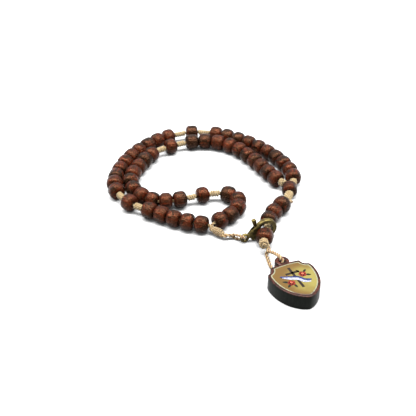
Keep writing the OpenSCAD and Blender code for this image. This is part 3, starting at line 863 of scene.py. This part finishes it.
# The turns bulge past the room that the knot has
BULGE = 0.3
for k, place in enumerate(KNOT_PLACES):
    wind(f"knot_outer_{k + 1}", f"outer_knot_{k + 1}", outer_stops[place], outer_stops[place + 1],
         OUTER_D[k], OUTER_KNOTS[k] + BULGE)
    wind(f"knot_inner_{k + 1}", f"inner_knot_{k + 1}", inner_stops[place], inner_stops[place + 1],
         INNER_D[k], INNER_KNOTS[k] + BULGE)
wind("knot_tail", "tail_knot", tail_stops[1], tail_stops[2], outer_d=3.8, length=TAIL_KNOT)
stub = [tail_stops[2] + Vector(p) for p in ((0.6, 1.3, 0.1), (1.6, 0.5, 0.4), (2.7, -0.6, 0.5))]
lay_twine("twine_cut_end", "tail_knot", smooth(stub, count=4))
wind("knot_in_hook", "held_knot", tail_stops[6], tail_stops[7], outer_d=2.7, length=HELD_KNOT + 0.4,
     thread=1.1, groove_shade_gain=1.2)
wind("knot_end", "end_knot", end_knot_start, end_knot_end, outer_d=3.8, length=END_KNOT,
     closed=True, groove_shade_gain=3.0)
joining_length = (joining_end - joining_start).length
wind("knot_joining", "joining_knot", joining_start, joining_end, outer_d=3.5, length=joining_length + 0.5,
     belly=0.7, groove_shade_gain=5.5)

# %% [markdown]
# ### Old brass
# Brass that was cast, tumbled and browned in a bath, and then wiped: dark olive in the hollows and paler on
# the edges that hands rub. The browning could be a layer of its own over the metal. A darker, rougher metal
# looks the same at this size and keeps the default IOR.

# %% Old brass
brass, tree, shader = new_material("antiqued_cast_brass")
place = object_place(tree)
# Stains 1 mm wide and a cast skin with pits of 0.2 mm
stains = noise(tree, place, 900.0, 4.0)
pits = noise(tree, place, 5000.0, 2.0)
rubbed = add_node(tree, "ShaderNodeAttribute", attribute_name="rubbed").outputs["Fac"]
brass_colour = blend_colours(tree, steps(tree, stains, 0.35, 0.65), "362e1b", "524828")
brass_colour = blend_colours(tree, steps(tree, rubbed, 0.0, 0.35, 1.0, 0.0), brass_colour, "0b0905")
brass_colour = blend_colours(tree, steps(tree, rubbed, 0.5, 1.1), brass_colour, "625b38")
feed(tree, shader, {
    "Base Color": brass_colour, "Metallic": 1.0, "Roughness": steps(tree, stains, 0.3, 0.7, 0.42, 0.58),
})
add_bump(tree, shader, pits, 0.35, 0.00005)

# %% [markdown]
# ## Clasp
# A small hook clasp, cast in one piece: a raised band runs from the eye along the back, over the hook and
# down to its tip, a second one goes round the near side of the ring, and between them lies a thinner web. It
# could be sculpted, but its measures would be hard to keep. Here the bands follow the outline, the web is a
# flat plate, and a fine Remesh joins them. All is drawn in the clasp's own plane: X from the eye to the
# hook, Y up, Z through it.


# %% Plates
def plate_of(name, outline, low, high):
    """A plate of any outline: a filled circle with one corner for each point, moved there and raised."""
    deselect_all()
    bpy.ops.mesh.primitive_circle_add(vertices=len(outline), radius=0.01, fill_type="NGON")
    piece = bpy.context.object
    piece.name = name
    for vertex, (x, y) in zip(piece.data.vertices, outline):
        vertex.co = (x * MM, y * MM, low * MM)
    bpy.ops.object.mode_set(mode="EDIT")
    bpy.ops.mesh.select_all(action="SELECT")
    bpy.ops.mesh.extrude_region_move(TRANSFORM_OT_translate={"value": (0, 0, (high - low) * MM)})
    bpy.ops.mesh.select_all(action="SELECT")
    bpy.ops.mesh.normals_make_consistent(inside=False)
    bpy.ops.object.mode_set(mode="OBJECT")
    return piece


def shrunk(points, amount):
    """The outline moved inwards by an amount, corner by corner, without the corners that would cross over."""
    inner = []
    count = len(points)
    for k in range(count):
        a, b, c = (Vector(points[(k + d) % count]) for d in (-1, 0, 1))
        first, second = (b - a).normalized(), (c - b).normalized()
        across = (first + second).normalized()
        inward = Vector((across.y, -across.x))
        inner.append(b + inward * amount / max(0.5, inward.dot(Vector((first.y, -first.x)))))
    return [tuple(p) for p in inner if min((p - Vector(q)).length for q in points) > 0.97 * amount]


# %% [markdown]
# ### Bands
# A band is a line with a round bevel, whose width changes from point to point. It becomes a mesh, and its
# section is then stretched to an oval. A drawn profile would need a taper as well.


# %% Bands
def on_arc(centre, radius, angle):
    """One point of a circle, with its angle in degrees."""
    a = math.radians(angle)
    return (centre[0] + radius * math.cos(a), centre[1] + radius * math.sin(a))


def arc(centre, radius, start, end, count):
    """Points on an arc, with the angles in degrees."""
    return [on_arc(centre, radius, start + (end - start) * k / count) for k in range(count + 1)]


def flat_curve(points, count):
    """A smooth line in the plane."""
    return [(p.x, p.y) for p in smooth(points, count)]


def band_of(name, points, widths, depth):
    """A cast band along points in the plane, each with its width; depth is its size through the clasp."""
    deselect_all()
    guide = drawn_line(name, [(x * MM, y * MM, 0) for x, y in points])
    guide.data.bevel_depth = 0.5 * MM
    guide.data.bevel_resolution = 4
    guide.data.use_fill_caps = True
    for point, width in zip(guide.data.splines[0].points, widths):
        point.radius = width
    choose(guide)
    bpy.ops.object.convert(target="MESH")
    band = bpy.context.object
    # The round section becomes an oval one, deeper than it is wide
    for vertex in band.data.vertices:
        near = min(range(len(points)), key=lambda k: (vertex.co.x / MM - points[k][0]) ** 2
                   + (vertex.co.y / MM - points[k][1]) ** 2)
        vertex.co.z *= depth / widths[near]
    return band


# %% [markdown]
# ### The clasp's outline
# The hook is an arc that stops where the gate swings past its tip, and the back is a smooth line from the
# neck at the eye to that arc. All of it is measured from the hook's middle and from the rivet, so the lever
# fits without further measures.

# %% Draw the clasp
HOOK_HOLE_R = 2.65
OUTER_R = 4.5
RIDGE_INSET = 0.32
PIVOT = (HOOK_AT.x - 3.75, HOOK_AT.y - 1.5)
GATE_R = math.dist(PIVOT, on_arc(HOOK_AT, HOOK_R - 0.85, -57))
BACK_POINTS = [(1.0, 2.75), (1.85, 4.1), (3.1, 5.65), (4.9, 7.15)]
back_line = flat_curve(BACK_POINTS + [on_arc(HOOK_AT, OUTER_R, 117)], count=3)
cast_outline = (
    back_line + arc(HOOK_AT, OUTER_R, 112, -62, 30) + arc(PIVOT, GATE_R + 0.12, -22, -5, 4)
    + arc(HOOK_AT, HOOK_HOLE_R + 0.1, -42, 145, 28) + arc(HOOK_AT, HOOK_HOLE_R - 0.4, 160, 195, 6)
    + arc(HOOK_AT, HOOK_HOLE_R + 0.1, 212, 222, 2)
    + [(5.9, 1.3), (5.8, 0.4), (4.4, 0.3), (3.2, 0.5), (2.5, 0.95), (2.25, 1.6), (1.6, 2.05), (1.2, 2.3)]
)
# Which way is inwards, for each point of the back
inwards = [(0.9, -0.5)] * 4 + [(0.75, -0.65)] * 4 + [(0.6, -0.8)] * 4 + [(0.45, -0.9)]
back_ridge = [(x + RIDGE_INSET * dx, y + RIDGE_INSET * dy) for (x, y), (dx, dy) in zip(back_line, inwards)]
back_ridge += arc(HOOK_AT, OUTER_R - RIDGE_INSET, 112, -58, 30)
second_ridge = flat_curve([(6.0, 5.6), (5.3, 4.4), (4.6, 3.0), (3.6, 1.8)], count=4)
inner_rim = arc(HOOK_AT, HOOK_HOLE_R + RIDGE_INSET, -38, 215, 30)
print("corners of the outline:", len(cast_outline), "gate's reach, mm:", round(GATE_R, 2))

# %% [markdown]
# ### The casting
# Voxels of 0.08 mm melt plates and bands into one skin. Booleans would keep hard lines where they meet,
# which no casting has.

# %% Cast the body
CAST_VOXEL = 0.00008
CLASP_T = 2.0
WEB_HALF, CORE_HALF = 0.85, 0.66
EYE_MIDDLE_R = 1.35
SHOULDER = [(2.3, 3.4), (3.2, 4.5), (4.3, 5.6), (5.6, 6.7)]


def cast(name, parts, softening):
    """Melts the parts into one skin and softens it."""
    piece = join(name, parts)
    apply_modifier(piece, "REMESH", mode="VOXEL", voxel_size=CAST_VOXEL)
    apply_modifier(piece, "SMOOTH", factor=0.5, iterations=softening)
    return piece


clasp_body = cast("clasp_body_cast", [
    plate_of("cast_plate", shrunk(cast_outline, 0.12), -WEB_HALF, WEB_HALF),
    plate_of("cast_core", cast_outline, -CORE_HALF, CORE_HALF),
    band_of("back_ridge", back_ridge, [0.55] * len(back_ridge), CLASP_T),
    band_of("shoulder", SHOULDER, [1.6, 2.1, 2.2, 1.6], CLASP_T + 0.1),
    band_of("second_ridge", second_ridge, [0.5] * len(second_ridge), CLASP_T - 0.15),
    band_of("inner_rim", inner_rim, [0.5 - 0.3 * k / 30 for k in range(31)], CLASP_T - 0.15),
    band_of("lower_edge", [(2.75, 1.15), (3.3, 0.85), (4.4, 0.65), (5.5, 0.7)], [0.6] * 4, 1.9),
    band_of("eye_ring", arc(EYE_AT, EYE_MIDDLE_R, 0, 360, 28), [1.2] * 29, 1.5),
    band_of("neck", [(1.0, 2.75), (1.7, 3.1), (2.4, 3.3)], [0.9, 1.1, 1.3], 1.5),
], softening=6)
print("cast body, faces:", len(clasp_body.data.polygons))

# %% [markdown]
# ### The slot
# The lever sits in a slot through the cast body. Its edges are sharp, so here Booleans are right: they cut a
# fan for the tab's travel, a round for the hub and a block that opens the slot below.

# %% Cut the slot for the lever
SLOT_HALF = 0.56
TAB_LEAN = 11
LEVER_TRAVEL = 15
FAN_HALF, FAN_REACH = 0.9, 9
HUB_ROOM_R = 1.9
shut, opened = 90 + TAB_LEAN, 90 + TAB_LEAN + LEVER_TRAVEL
by_shut, by_open = on_arc(PIVOT, FAN_HALF, shut - 90), on_arc(PIVOT, FAN_HALF, opened + 90)
slot_fan = [by_shut, on_arc(by_shut, FAN_REACH, shut), on_arc(by_open, FAN_REACH, opened), by_open]
left, right = PIVOT[0] - 1.4, PIVOT[0] + 4
for name, outline in (
    ("slot_fan", slot_fan),
    ("slot_hub", arc(PIVOT, HUB_ROOM_R, 0, 345, 23)),
    ("slot_floor", [(left, -1), (right, -1), (right, 2.4), (left, 2.4)]),
):
    cutter = plate_of(name, outline, -SLOT_HALF, SLOT_HALF)
    apply_modifier(clasp_body, "BOOLEAN", object=cutter, operation="DIFFERENCE", solver="EXACT")
    bpy.data.objects.remove(cutter)
print("cast body with its slot, faces:", len(clasp_body.data.polygons))

# %% [markdown]
# ### Worn edges
# Hands rub the ridges bright, and the hollows stay brown. The Geometry node's Pointiness could show this,
# but only Cycles has it. So the bend at each point is measured on the mesh and kept as an attribute.


# %% Worn edges
# The attribute on a flat place, and how fast it grows with the bend
FLAT, BEND_GAIN = 0.35, 3.5


def smooth_shading(piece, angle):
    """Smooth faces, with edges kept sharp where they turn by more than the angle."""
    choose(piece)
    bpy.ops.object.shade_smooth_by_angle(angle=math.radians(angle))


def mark_rubbed(piece):
    """An attribute that is high on ridges and low in hollows, from how the surface bends there."""
    bm = bmesh.new()
    bm.from_mesh(piece.data)
    values = []
    for vertex in bm.verts:
        bend = sum((vertex.co - edge.other_vert(vertex).co).normalized().dot(vertex.normal)
                   for edge in vertex.link_edges) / max(1, len(vertex.link_edges))
        values.append(min(1.0, max(0.0, FLAT + bend * BEND_GAIN)))
    bm.free()
    piece.data.attributes.new("rubbed", "FLOAT", "POINT").data.foreach_set("value", values)


def finish_brass(piece, body, node):
    """Marks the worn edges, stands the piece up in its place and gives it the brass."""
    mark_rubbed(piece)
    turn = Matrix.Rotation(clasp_turn, 4, "Z") @ Matrix.Rotation(math.radians(90), 4, "X")
    piece.data.transform(Matrix.Translation(clasp_at * MM) @ turn)
    piece.data.materials.clear()
    piece.data.materials.append(brass)
    smooth_shading(piece, 50)
    print(piece.name, "in mm:", [round(v * 1000, 1) for v in piece.dimensions])
    return hand_over(piece, body, "old_brass", node)


finish_brass(clasp_body, "rosary", "clasp_body")

# %% [markdown]
# ## Lever
# The lever is a thin casting in the slot: a hub on the rivet, a gate that closes the hook, and a thumb tab
# that widens where it leaves the body. Beveled plates would keep seams where they meet, so the same Remesh
# joins them.

# %% Lever
LEVER_HALF, TAB_HEAD_HALF = 0.45, 0.66
HUB_R = 1.05
# The tab is thicker beyond this distance from the rivet
TAB_HEAD_FROM = 4.4
TAB_POINTS = [
    (-0.6, 0), (0.6, 0), (0.6, 4.3), (0.72, 5.6), (0.78, 6.7), (0.6, 7.1), (0.1, 7.2), (-0.75, 7.0),
    (-0.95, 6.6), (-0.85, 5.8), (-0.62, 4.8), (-0.6, 4.0),
]
gate_ring = arc(HOOK_AT, HOOK_R - 0.3, 200, 312, 18) + arc(HOOK_AT, HOOK_R - 1.0, 308, 205, 16)
gate_outline = [p for p in gate_ring if math.dist(p, PIVOT) < GATE_R]
tab_turn = Matrix.Rotation(math.radians(TAB_LEAN), 2)
tab_outline = [tuple(tab_turn @ Vector(p) + Vector(PIVOT)) for p in TAB_POINTS]
tab_head = [p for p in tab_outline if math.dist(p, PIVOT) > TAB_HEAD_FROM]
lever = cast("clasp_lever_cast", [
    plate_of("hub", arc(PIVOT, HUB_R, 0, 345, 23), -LEVER_HALF, LEVER_HALF),
    plate_of("gate", gate_outline, -LEVER_HALF, LEVER_HALF),
    plate_of("tab", tab_outline, -LEVER_HALF, LEVER_HALF),
    plate_of("tab_head", tab_head, -TAB_HEAD_HALF, TAB_HEAD_HALF),
], softening=4)
finish_brass(lever, "lever", "clasp_lever")

# %% [markdown]
# ### Rivet
# The lever turns on a rivet whose two heads are hammered round. It is a body of revolution, so it is raised
# from a circle like the beads.

# %% Rivet
# Radius and height of the rings of one head
RIVET_HEAD = [(0.4, -0.8), (0.62, -0.8), (0.62, -1.0), (0.48, -1.12), (0.2, -1.17), (0.02, -1.18)]
rivet = turned("clasp_rivet_pin", RIVET_HEAD + [(r, -h) for r, h in reversed(RIVET_HEAD)], sides=20)
rivet.data.transform(Matrix.Translation((PIVOT[0] * MM, PIVOT[1] * MM, 0)))
finish_brass(rivet, "rosary", "clasp_rivet")

# %% [markdown]
# ## Pendant finishes
# The pendant is sawn from board, stained nearly black on its sides and varnished. The saw's marks run
# upright, so a noise is stretched that way; a Wave texture would be too regular.

# %% Dark varnish
varnish, tree, shader = new_material("dark_varnished_wood")
upright = add_node(tree, "ShaderNodeMapping", {"Vector": object_place(tree), "Scale": (1.0, 1.0, 0.15)})
saw = noise(tree, upright.outputs["Vector"], 1400.0, 3.0)
feed(tree, shader, {
    "Base Color": blend_colours(tree, steps(tree, saw, 0.35, 0.7), "020402", "070b07"),
    "Roughness": steps(tree, saw, 0.3, 0.7, 0.3, 0.42),
    "Specular IOR Level": 0.06,
})
add_bump(tree, shader, saw, 0.4, 0.00008)

# %% [markdown]
# ### Wiped face
# On the face and the lug the stain was wiped off, so the reddish wood shows through in patches of 1 mm.

# %% Wiped red varnish
rim_wood, tree, shader = new_material("wiped_red_varnish")
worn = noise(tree, object_place(tree), 900.0, 5.0)
rim_colour = blend_colours(tree, steps(tree, worn, 0.4, 0.66), "100301", "2b1109")
feed(tree, shader, {"Base Color": rim_colour, "Roughness": 0.35, "Specular IOR Level": 0.1})

# %% [markdown]
# ### Gold field
# The gold is a printed paint and not a leaf. As a metal it would mirror the white room, so it is a plain
# ochre
# with a painted highlight: it is palest at one spot, near its lower right edge, and darker away from it.


# %% Gold print
def on_face(x, y):
    """A point of the pendant's face in the frame, in metres, from its own plane in millimetres."""
    return (pendant_at + Matrix.Rotation(pendant_turn, 3, "Z") @ Vector((x, y, SHIELD_T))) * MM


def uneven_distance(tree, place, spot, uneven):
    """The distance from a spot in centimetres, made uneven by a noise."""
    away = add_node(tree, "ShaderNodeVectorMath", {0: place, 1: spot}, operation="DISTANCE").outputs["Value"]
    away = add_node(tree, "ShaderNodeMath", {0: away, 1: 100.0}, operation="MULTIPLY").outputs[0]
    return add_node(tree, "ShaderNodeMath", {0: away, 1: uneven}, operation="ADD").outputs[0]


gold, tree, shader = new_material("gold_print")
place = object_place(tree)
# Painted highlight: palest (4b4521) at this spot on the face, darker (37280f) with the distance from it
shade = uneven_distance(tree, place, on_face(4.2, -10.9), noise(tree, place, 160.0, 3.0))
gold_colour = blend_colours(tree, steps(tree, shade, 0.7, 1.5), "4b4521", "37280f")
feed(tree, shader, {"Base Color": gold_colour, "Roughness": 0.25, "Specular IOR Level": 0.12})

# %% [markdown]
# ### Cream line
# The line round the gold is a cream print, slightly speckled. Near the shield's tip it is rubbed down to the
# wood, which is done in the colour alone, as the film is too thin to show a step.

# %% Cream print
cream, tree, shader = new_material("cream_print")
place = object_place(tree)
speckle = noise(tree, place, 1300.0, 3.0)
line_colour = blend_colours(tree, steps(tree, speckle, 0.3, 0.7), "40402f", "4f4f3c")
rubbing = uneven_distance(tree, place, on_face(-2.6, -17.0), speckle)
line_colour = blend_colours(tree, steps(tree, rubbing, 0.75, 1.05), "2a1a0e", line_colour)
feed(tree, shader, {"Base Color": line_colour, "Roughness": 0.3})

# %% [markdown]
# ## Pendant
# A shield sawn from 6 mm board with a turned lug at the top. A plate of the outline is raised, and its edges
# are beveled, as a sawn edge is sanded. Booleans on a block would give the same in more steps.

# %% Shield outline
TOP_HALF = 5.9
SCOOP_AT, SCOOP_R = (8.3, -0.5), 2.3
CHEEK, TIP = 8.95, 19.2


def shield_outline():
    """The shield's outline in its own plane: origin at the middle of its top edge, tip towards -Y."""
    half = [(x * TOP_HALF / 6, 0.4 * (1 - (x / 6) ** 2)) for x in range(0, 6)] + [(TOP_HALF, -0.1)]
    half += [on_arc(SCOOP_AT, SCOOP_R, a) for a in range(185, 246, 10)]
    half += [(8.35, -2.95), (8.7, -3.7)]
    for k in range(19):
        t = math.sin(math.radians(k * 5))
        half.append((CHEEK * (1 - t ** 2.3) ** 0.66, -5 - 14.2 * t))
    half[-1] = (0, -TIP)
    return half + [(-x, y) for x, y in reversed(half[1:-1])]


def hang(piece):
    """From the pendant's own plane to its place."""
    piece.data.transform(Matrix.Translation(pendant_at * MM) @ Matrix.Rotation(pendant_turn, 4, "Z"))


print("corners of the shield:", len(shield_outline()))

# %% [markdown]
# ### Board and lug
# The bevel goes round the two flat faces. The lug is a short tube with rounded rims and an upright hole. It
# is raised like a bead and meets the shield's top edge.

# %% Pendant body
shield = plate_of("pendant_shield", shield_outline(), 0, SHIELD_T)
bpy.ops.object.mode_set(mode="EDIT")
bpy.ops.mesh.select_mode(type="FACE")
bm = bmesh.from_edit_mesh(shield.data)
for face in bm.faces:
    face.select_set(abs(face.normal.z) > 0.9)
bmesh.update_edit_mesh(shield.data)
bpy.ops.mesh.bevel(offset=0.25 * MM, segments=3, affect="EDGES")
bpy.ops.object.mode_set(mode="OBJECT")
# Radius and height of the lug's rings
LUG_RINGS = [
    (1.15, -1.5), (1.15, 1.5), (1.25, 1.82), (1.5, 1.95), (2.3, 1.95), (2.6, 1.8), (2.75, 1.5), (2.75, -1.5),
    (2.6, -1.8), (2.3, -1.95), (1.5, -1.95), (1.25, -1.82),
]
lug = turned("pendant_lug", LUG_RINGS, sides=40)
lug.data.transform(Matrix.Translation((LUG_AT.x * MM, LUG_AT.y * MM, (LUG_LIFT + LUG_T / 2) * MM)))
shield.data.materials.append(varnish)
shield.data.materials.append(rim_wood)
for face in shield.data.polygons:
    face.material_index = 1 if face.center.z > (SHIELD_T - 0.3) * MM else 0
lug.data.materials.append(rim_wood)
for piece in (shield, lug):
    hang(piece)
    smooth_shading(piece, 35)
    hand_over(piece, "rosary", "varnished_wood", "pendant_body")
print("shield, mm:", [round(v * 1000, 1) for v in shield.dimensions])

# %% [markdown]
# ### Printed plate
# The print is a thin cream plate of a smaller outline that stands 0.03 mm proud of the wood. A still smaller
# gold film on it leaves the cream line round the field. One material with two colours would need a mask; two
# plates need none.

# %% Printed plate
RIM_W, CREAM_W = 1.0, 0.4
PLATE_T, PROUD = 0.4, 0.03
FILM_T, FILM_STEP = 0.045, 0.02
plate = plate_of("pendant_print", shrunk(shield_outline(), RIM_W), SHIELD_T - PLATE_T, SHIELD_T + PROUD)
plate.data.materials.append(cream)
field = plate_of("gold_field", shrunk(shield_outline(), RIM_W + CREAM_W), SHIELD_T, SHIELD_T + FILM_T)
field.data.materials.append(gold)
plate = join("pendant_print", [plate, field])
hang(plate)
smooth_shading(plate, 35)
hand_over(plate, "rosary", "printed_plate", "pendant_plate")
print("print, mm:", [round(v * 1000, 1) for v in plate.dimensions])

# %% [markdown]
# ### The print's motif
# A plain design of its own: a cross with a ribbon, two roses and leaves. Each ink is a thin raised film on
# the gold field, as a pad print is, so it catches the light at its edge. An image texture would need a file.


# %% Inks and films
def ink(name, dark, light):
    """A glossy printing ink, a little uneven in its colour over 0.7 mm."""
    material, tree, shader = new_material(name)
    uneven = noise(tree, object_place(tree), 1500.0, 2.0)
    ink_colour = blend_colours(tree, steps(tree, uneven, 0.35, 0.65), dark, light)
    feed(tree, shader, {"Base Color": ink_colour, "Roughness": 0.22, "Specular IOR Level": 0.12})
    return material


def print_film(name, outlines, material, layer):
    """Thin films of one ink, each from its outline in the pendant's plane."""
    base = SHIELD_T + FILM_STEP * (layer + 1)
    film = join(name, [plate_of(name, outline, base, base + FILM_T) for outline in outlines])
    film.data.materials.clear()
    film.data.materials.append(material)
    hang(film)
    print(name, "in", material.name)
    return hand_over(film, "rosary", "printed_plate")


# %% [markdown]
# ### Shapes of the motif
# A leaf or a ribbon is an outline that a few numbers describe, so each is one line in the design and easy to
# move.


# %% Leaves and stripes
def leaf(x, y, length, width, angle):
    """The outline of a pointed leaf."""
    turn = Matrix.Rotation(math.radians(angle), 2)
    half = [(length * (k / 6 - 0.5), width / 2 * math.sin(math.pi * k / 6)) for k in range(7)]
    whole = half + [(a, -b) for a, b in reversed(half[1:-1])]
    return [tuple(turn @ Vector(p) + Vector((x, y))) for p in whole]


def stripe(points, width):
    """The outline of a strip along a smooth line."""
    line = smooth(points, count=5)
    last = len(line) - 1
    sides = ([], [])
    for k, p in enumerate(line):
        way = (line[min(k + 1, last)] - line[max(k - 1, 0)]).normalized()
        taper = width / 2 * min(1, 0.35 + 3 * min(k, last - k) / len(line))
        sides[0].append((p.x - way.y * taper, p.y + way.x * taper))
        sides[1].append((p.x + way.y * taper, p.y - way.x * taper))
    return sides[0] + sides[1][::-1]


# %% [markdown]
# ### The design
# The leaves and the cross lie lowest, the ribbon over them, and the roses with their hearts on top. Each
# layer is a little higher than the one below, as printed inks are.

# %% Print the motif
ROSES = [(-2.9, -10.3), (3.0, -7.6)]
PETAL_R, HEART_R = 0.72, 0.55
BLUE_LINE = [(-5.2, -6.0), (-2.6, -7.4), (0.6, -8.6), (2.2, -10.6), (4.6, -11.3)]
WHITE_LINE = [(-4.7, -6.7), (-2.2, -8.1), (0.3, -9.3), (1.7, -11.2), (3.9, -12.2)]
print_film("print_leaves", [
    leaf(-4.6, -9.2, 2.6, 1.0, 150), leaf(-4.3, -11.4, 2.4, 0.9, 215), leaf(-2.2, -12.2, 2.2, 0.9, 280),
    leaf(4.7, -8.6, 2.4, 1.0, -25), leaf(4.5, -6.3, 2.3, 0.9, 40), leaf(2.2, -5.6, 2.2, 0.8, 110),
], ink("leaf_green_ink", "030403", "070c07"), 0)
print_film("print_cross", [
    [(-0.5, -2.6), (0.5, -2.6), (0.5, -13.9), (-0.5, -13.9)],
    [(-2.7, -5.1), (2.7, -5.1), (2.7, -6.1), (-2.7, -6.1)],
], ink("brown_ink", "090604", "170e08"), 0)
print_film("print_ribbon_blue", [stripe(BLUE_LINE, 1.5)], ink("blue_ink", "080c1d", "141c3c"), 1)
print_film("print_ribbon_white", [stripe(WHITE_LINE, 1.1)], ink("white_ink", "464859", "676971"), 2)
print_film("print_roses", [
    arc((x + 0.75 * math.cos(a), y + 0.75 * math.sin(a)), PETAL_R, 0, 330, 11)
    for x, y in ROSES for a in (0.3, 1.6, 2.9, 4.1, 5.3)
], ink("rose_red_ink", "300704", "4e120c"), 2)
print_film("print_rose_hearts", [arc((x + 0.1, y + 0.15), HEART_R, 0, 330, 11) for x, y in ROSES],
           ink("rose_pink_ink", "5b2216", "693a2a"), 3)
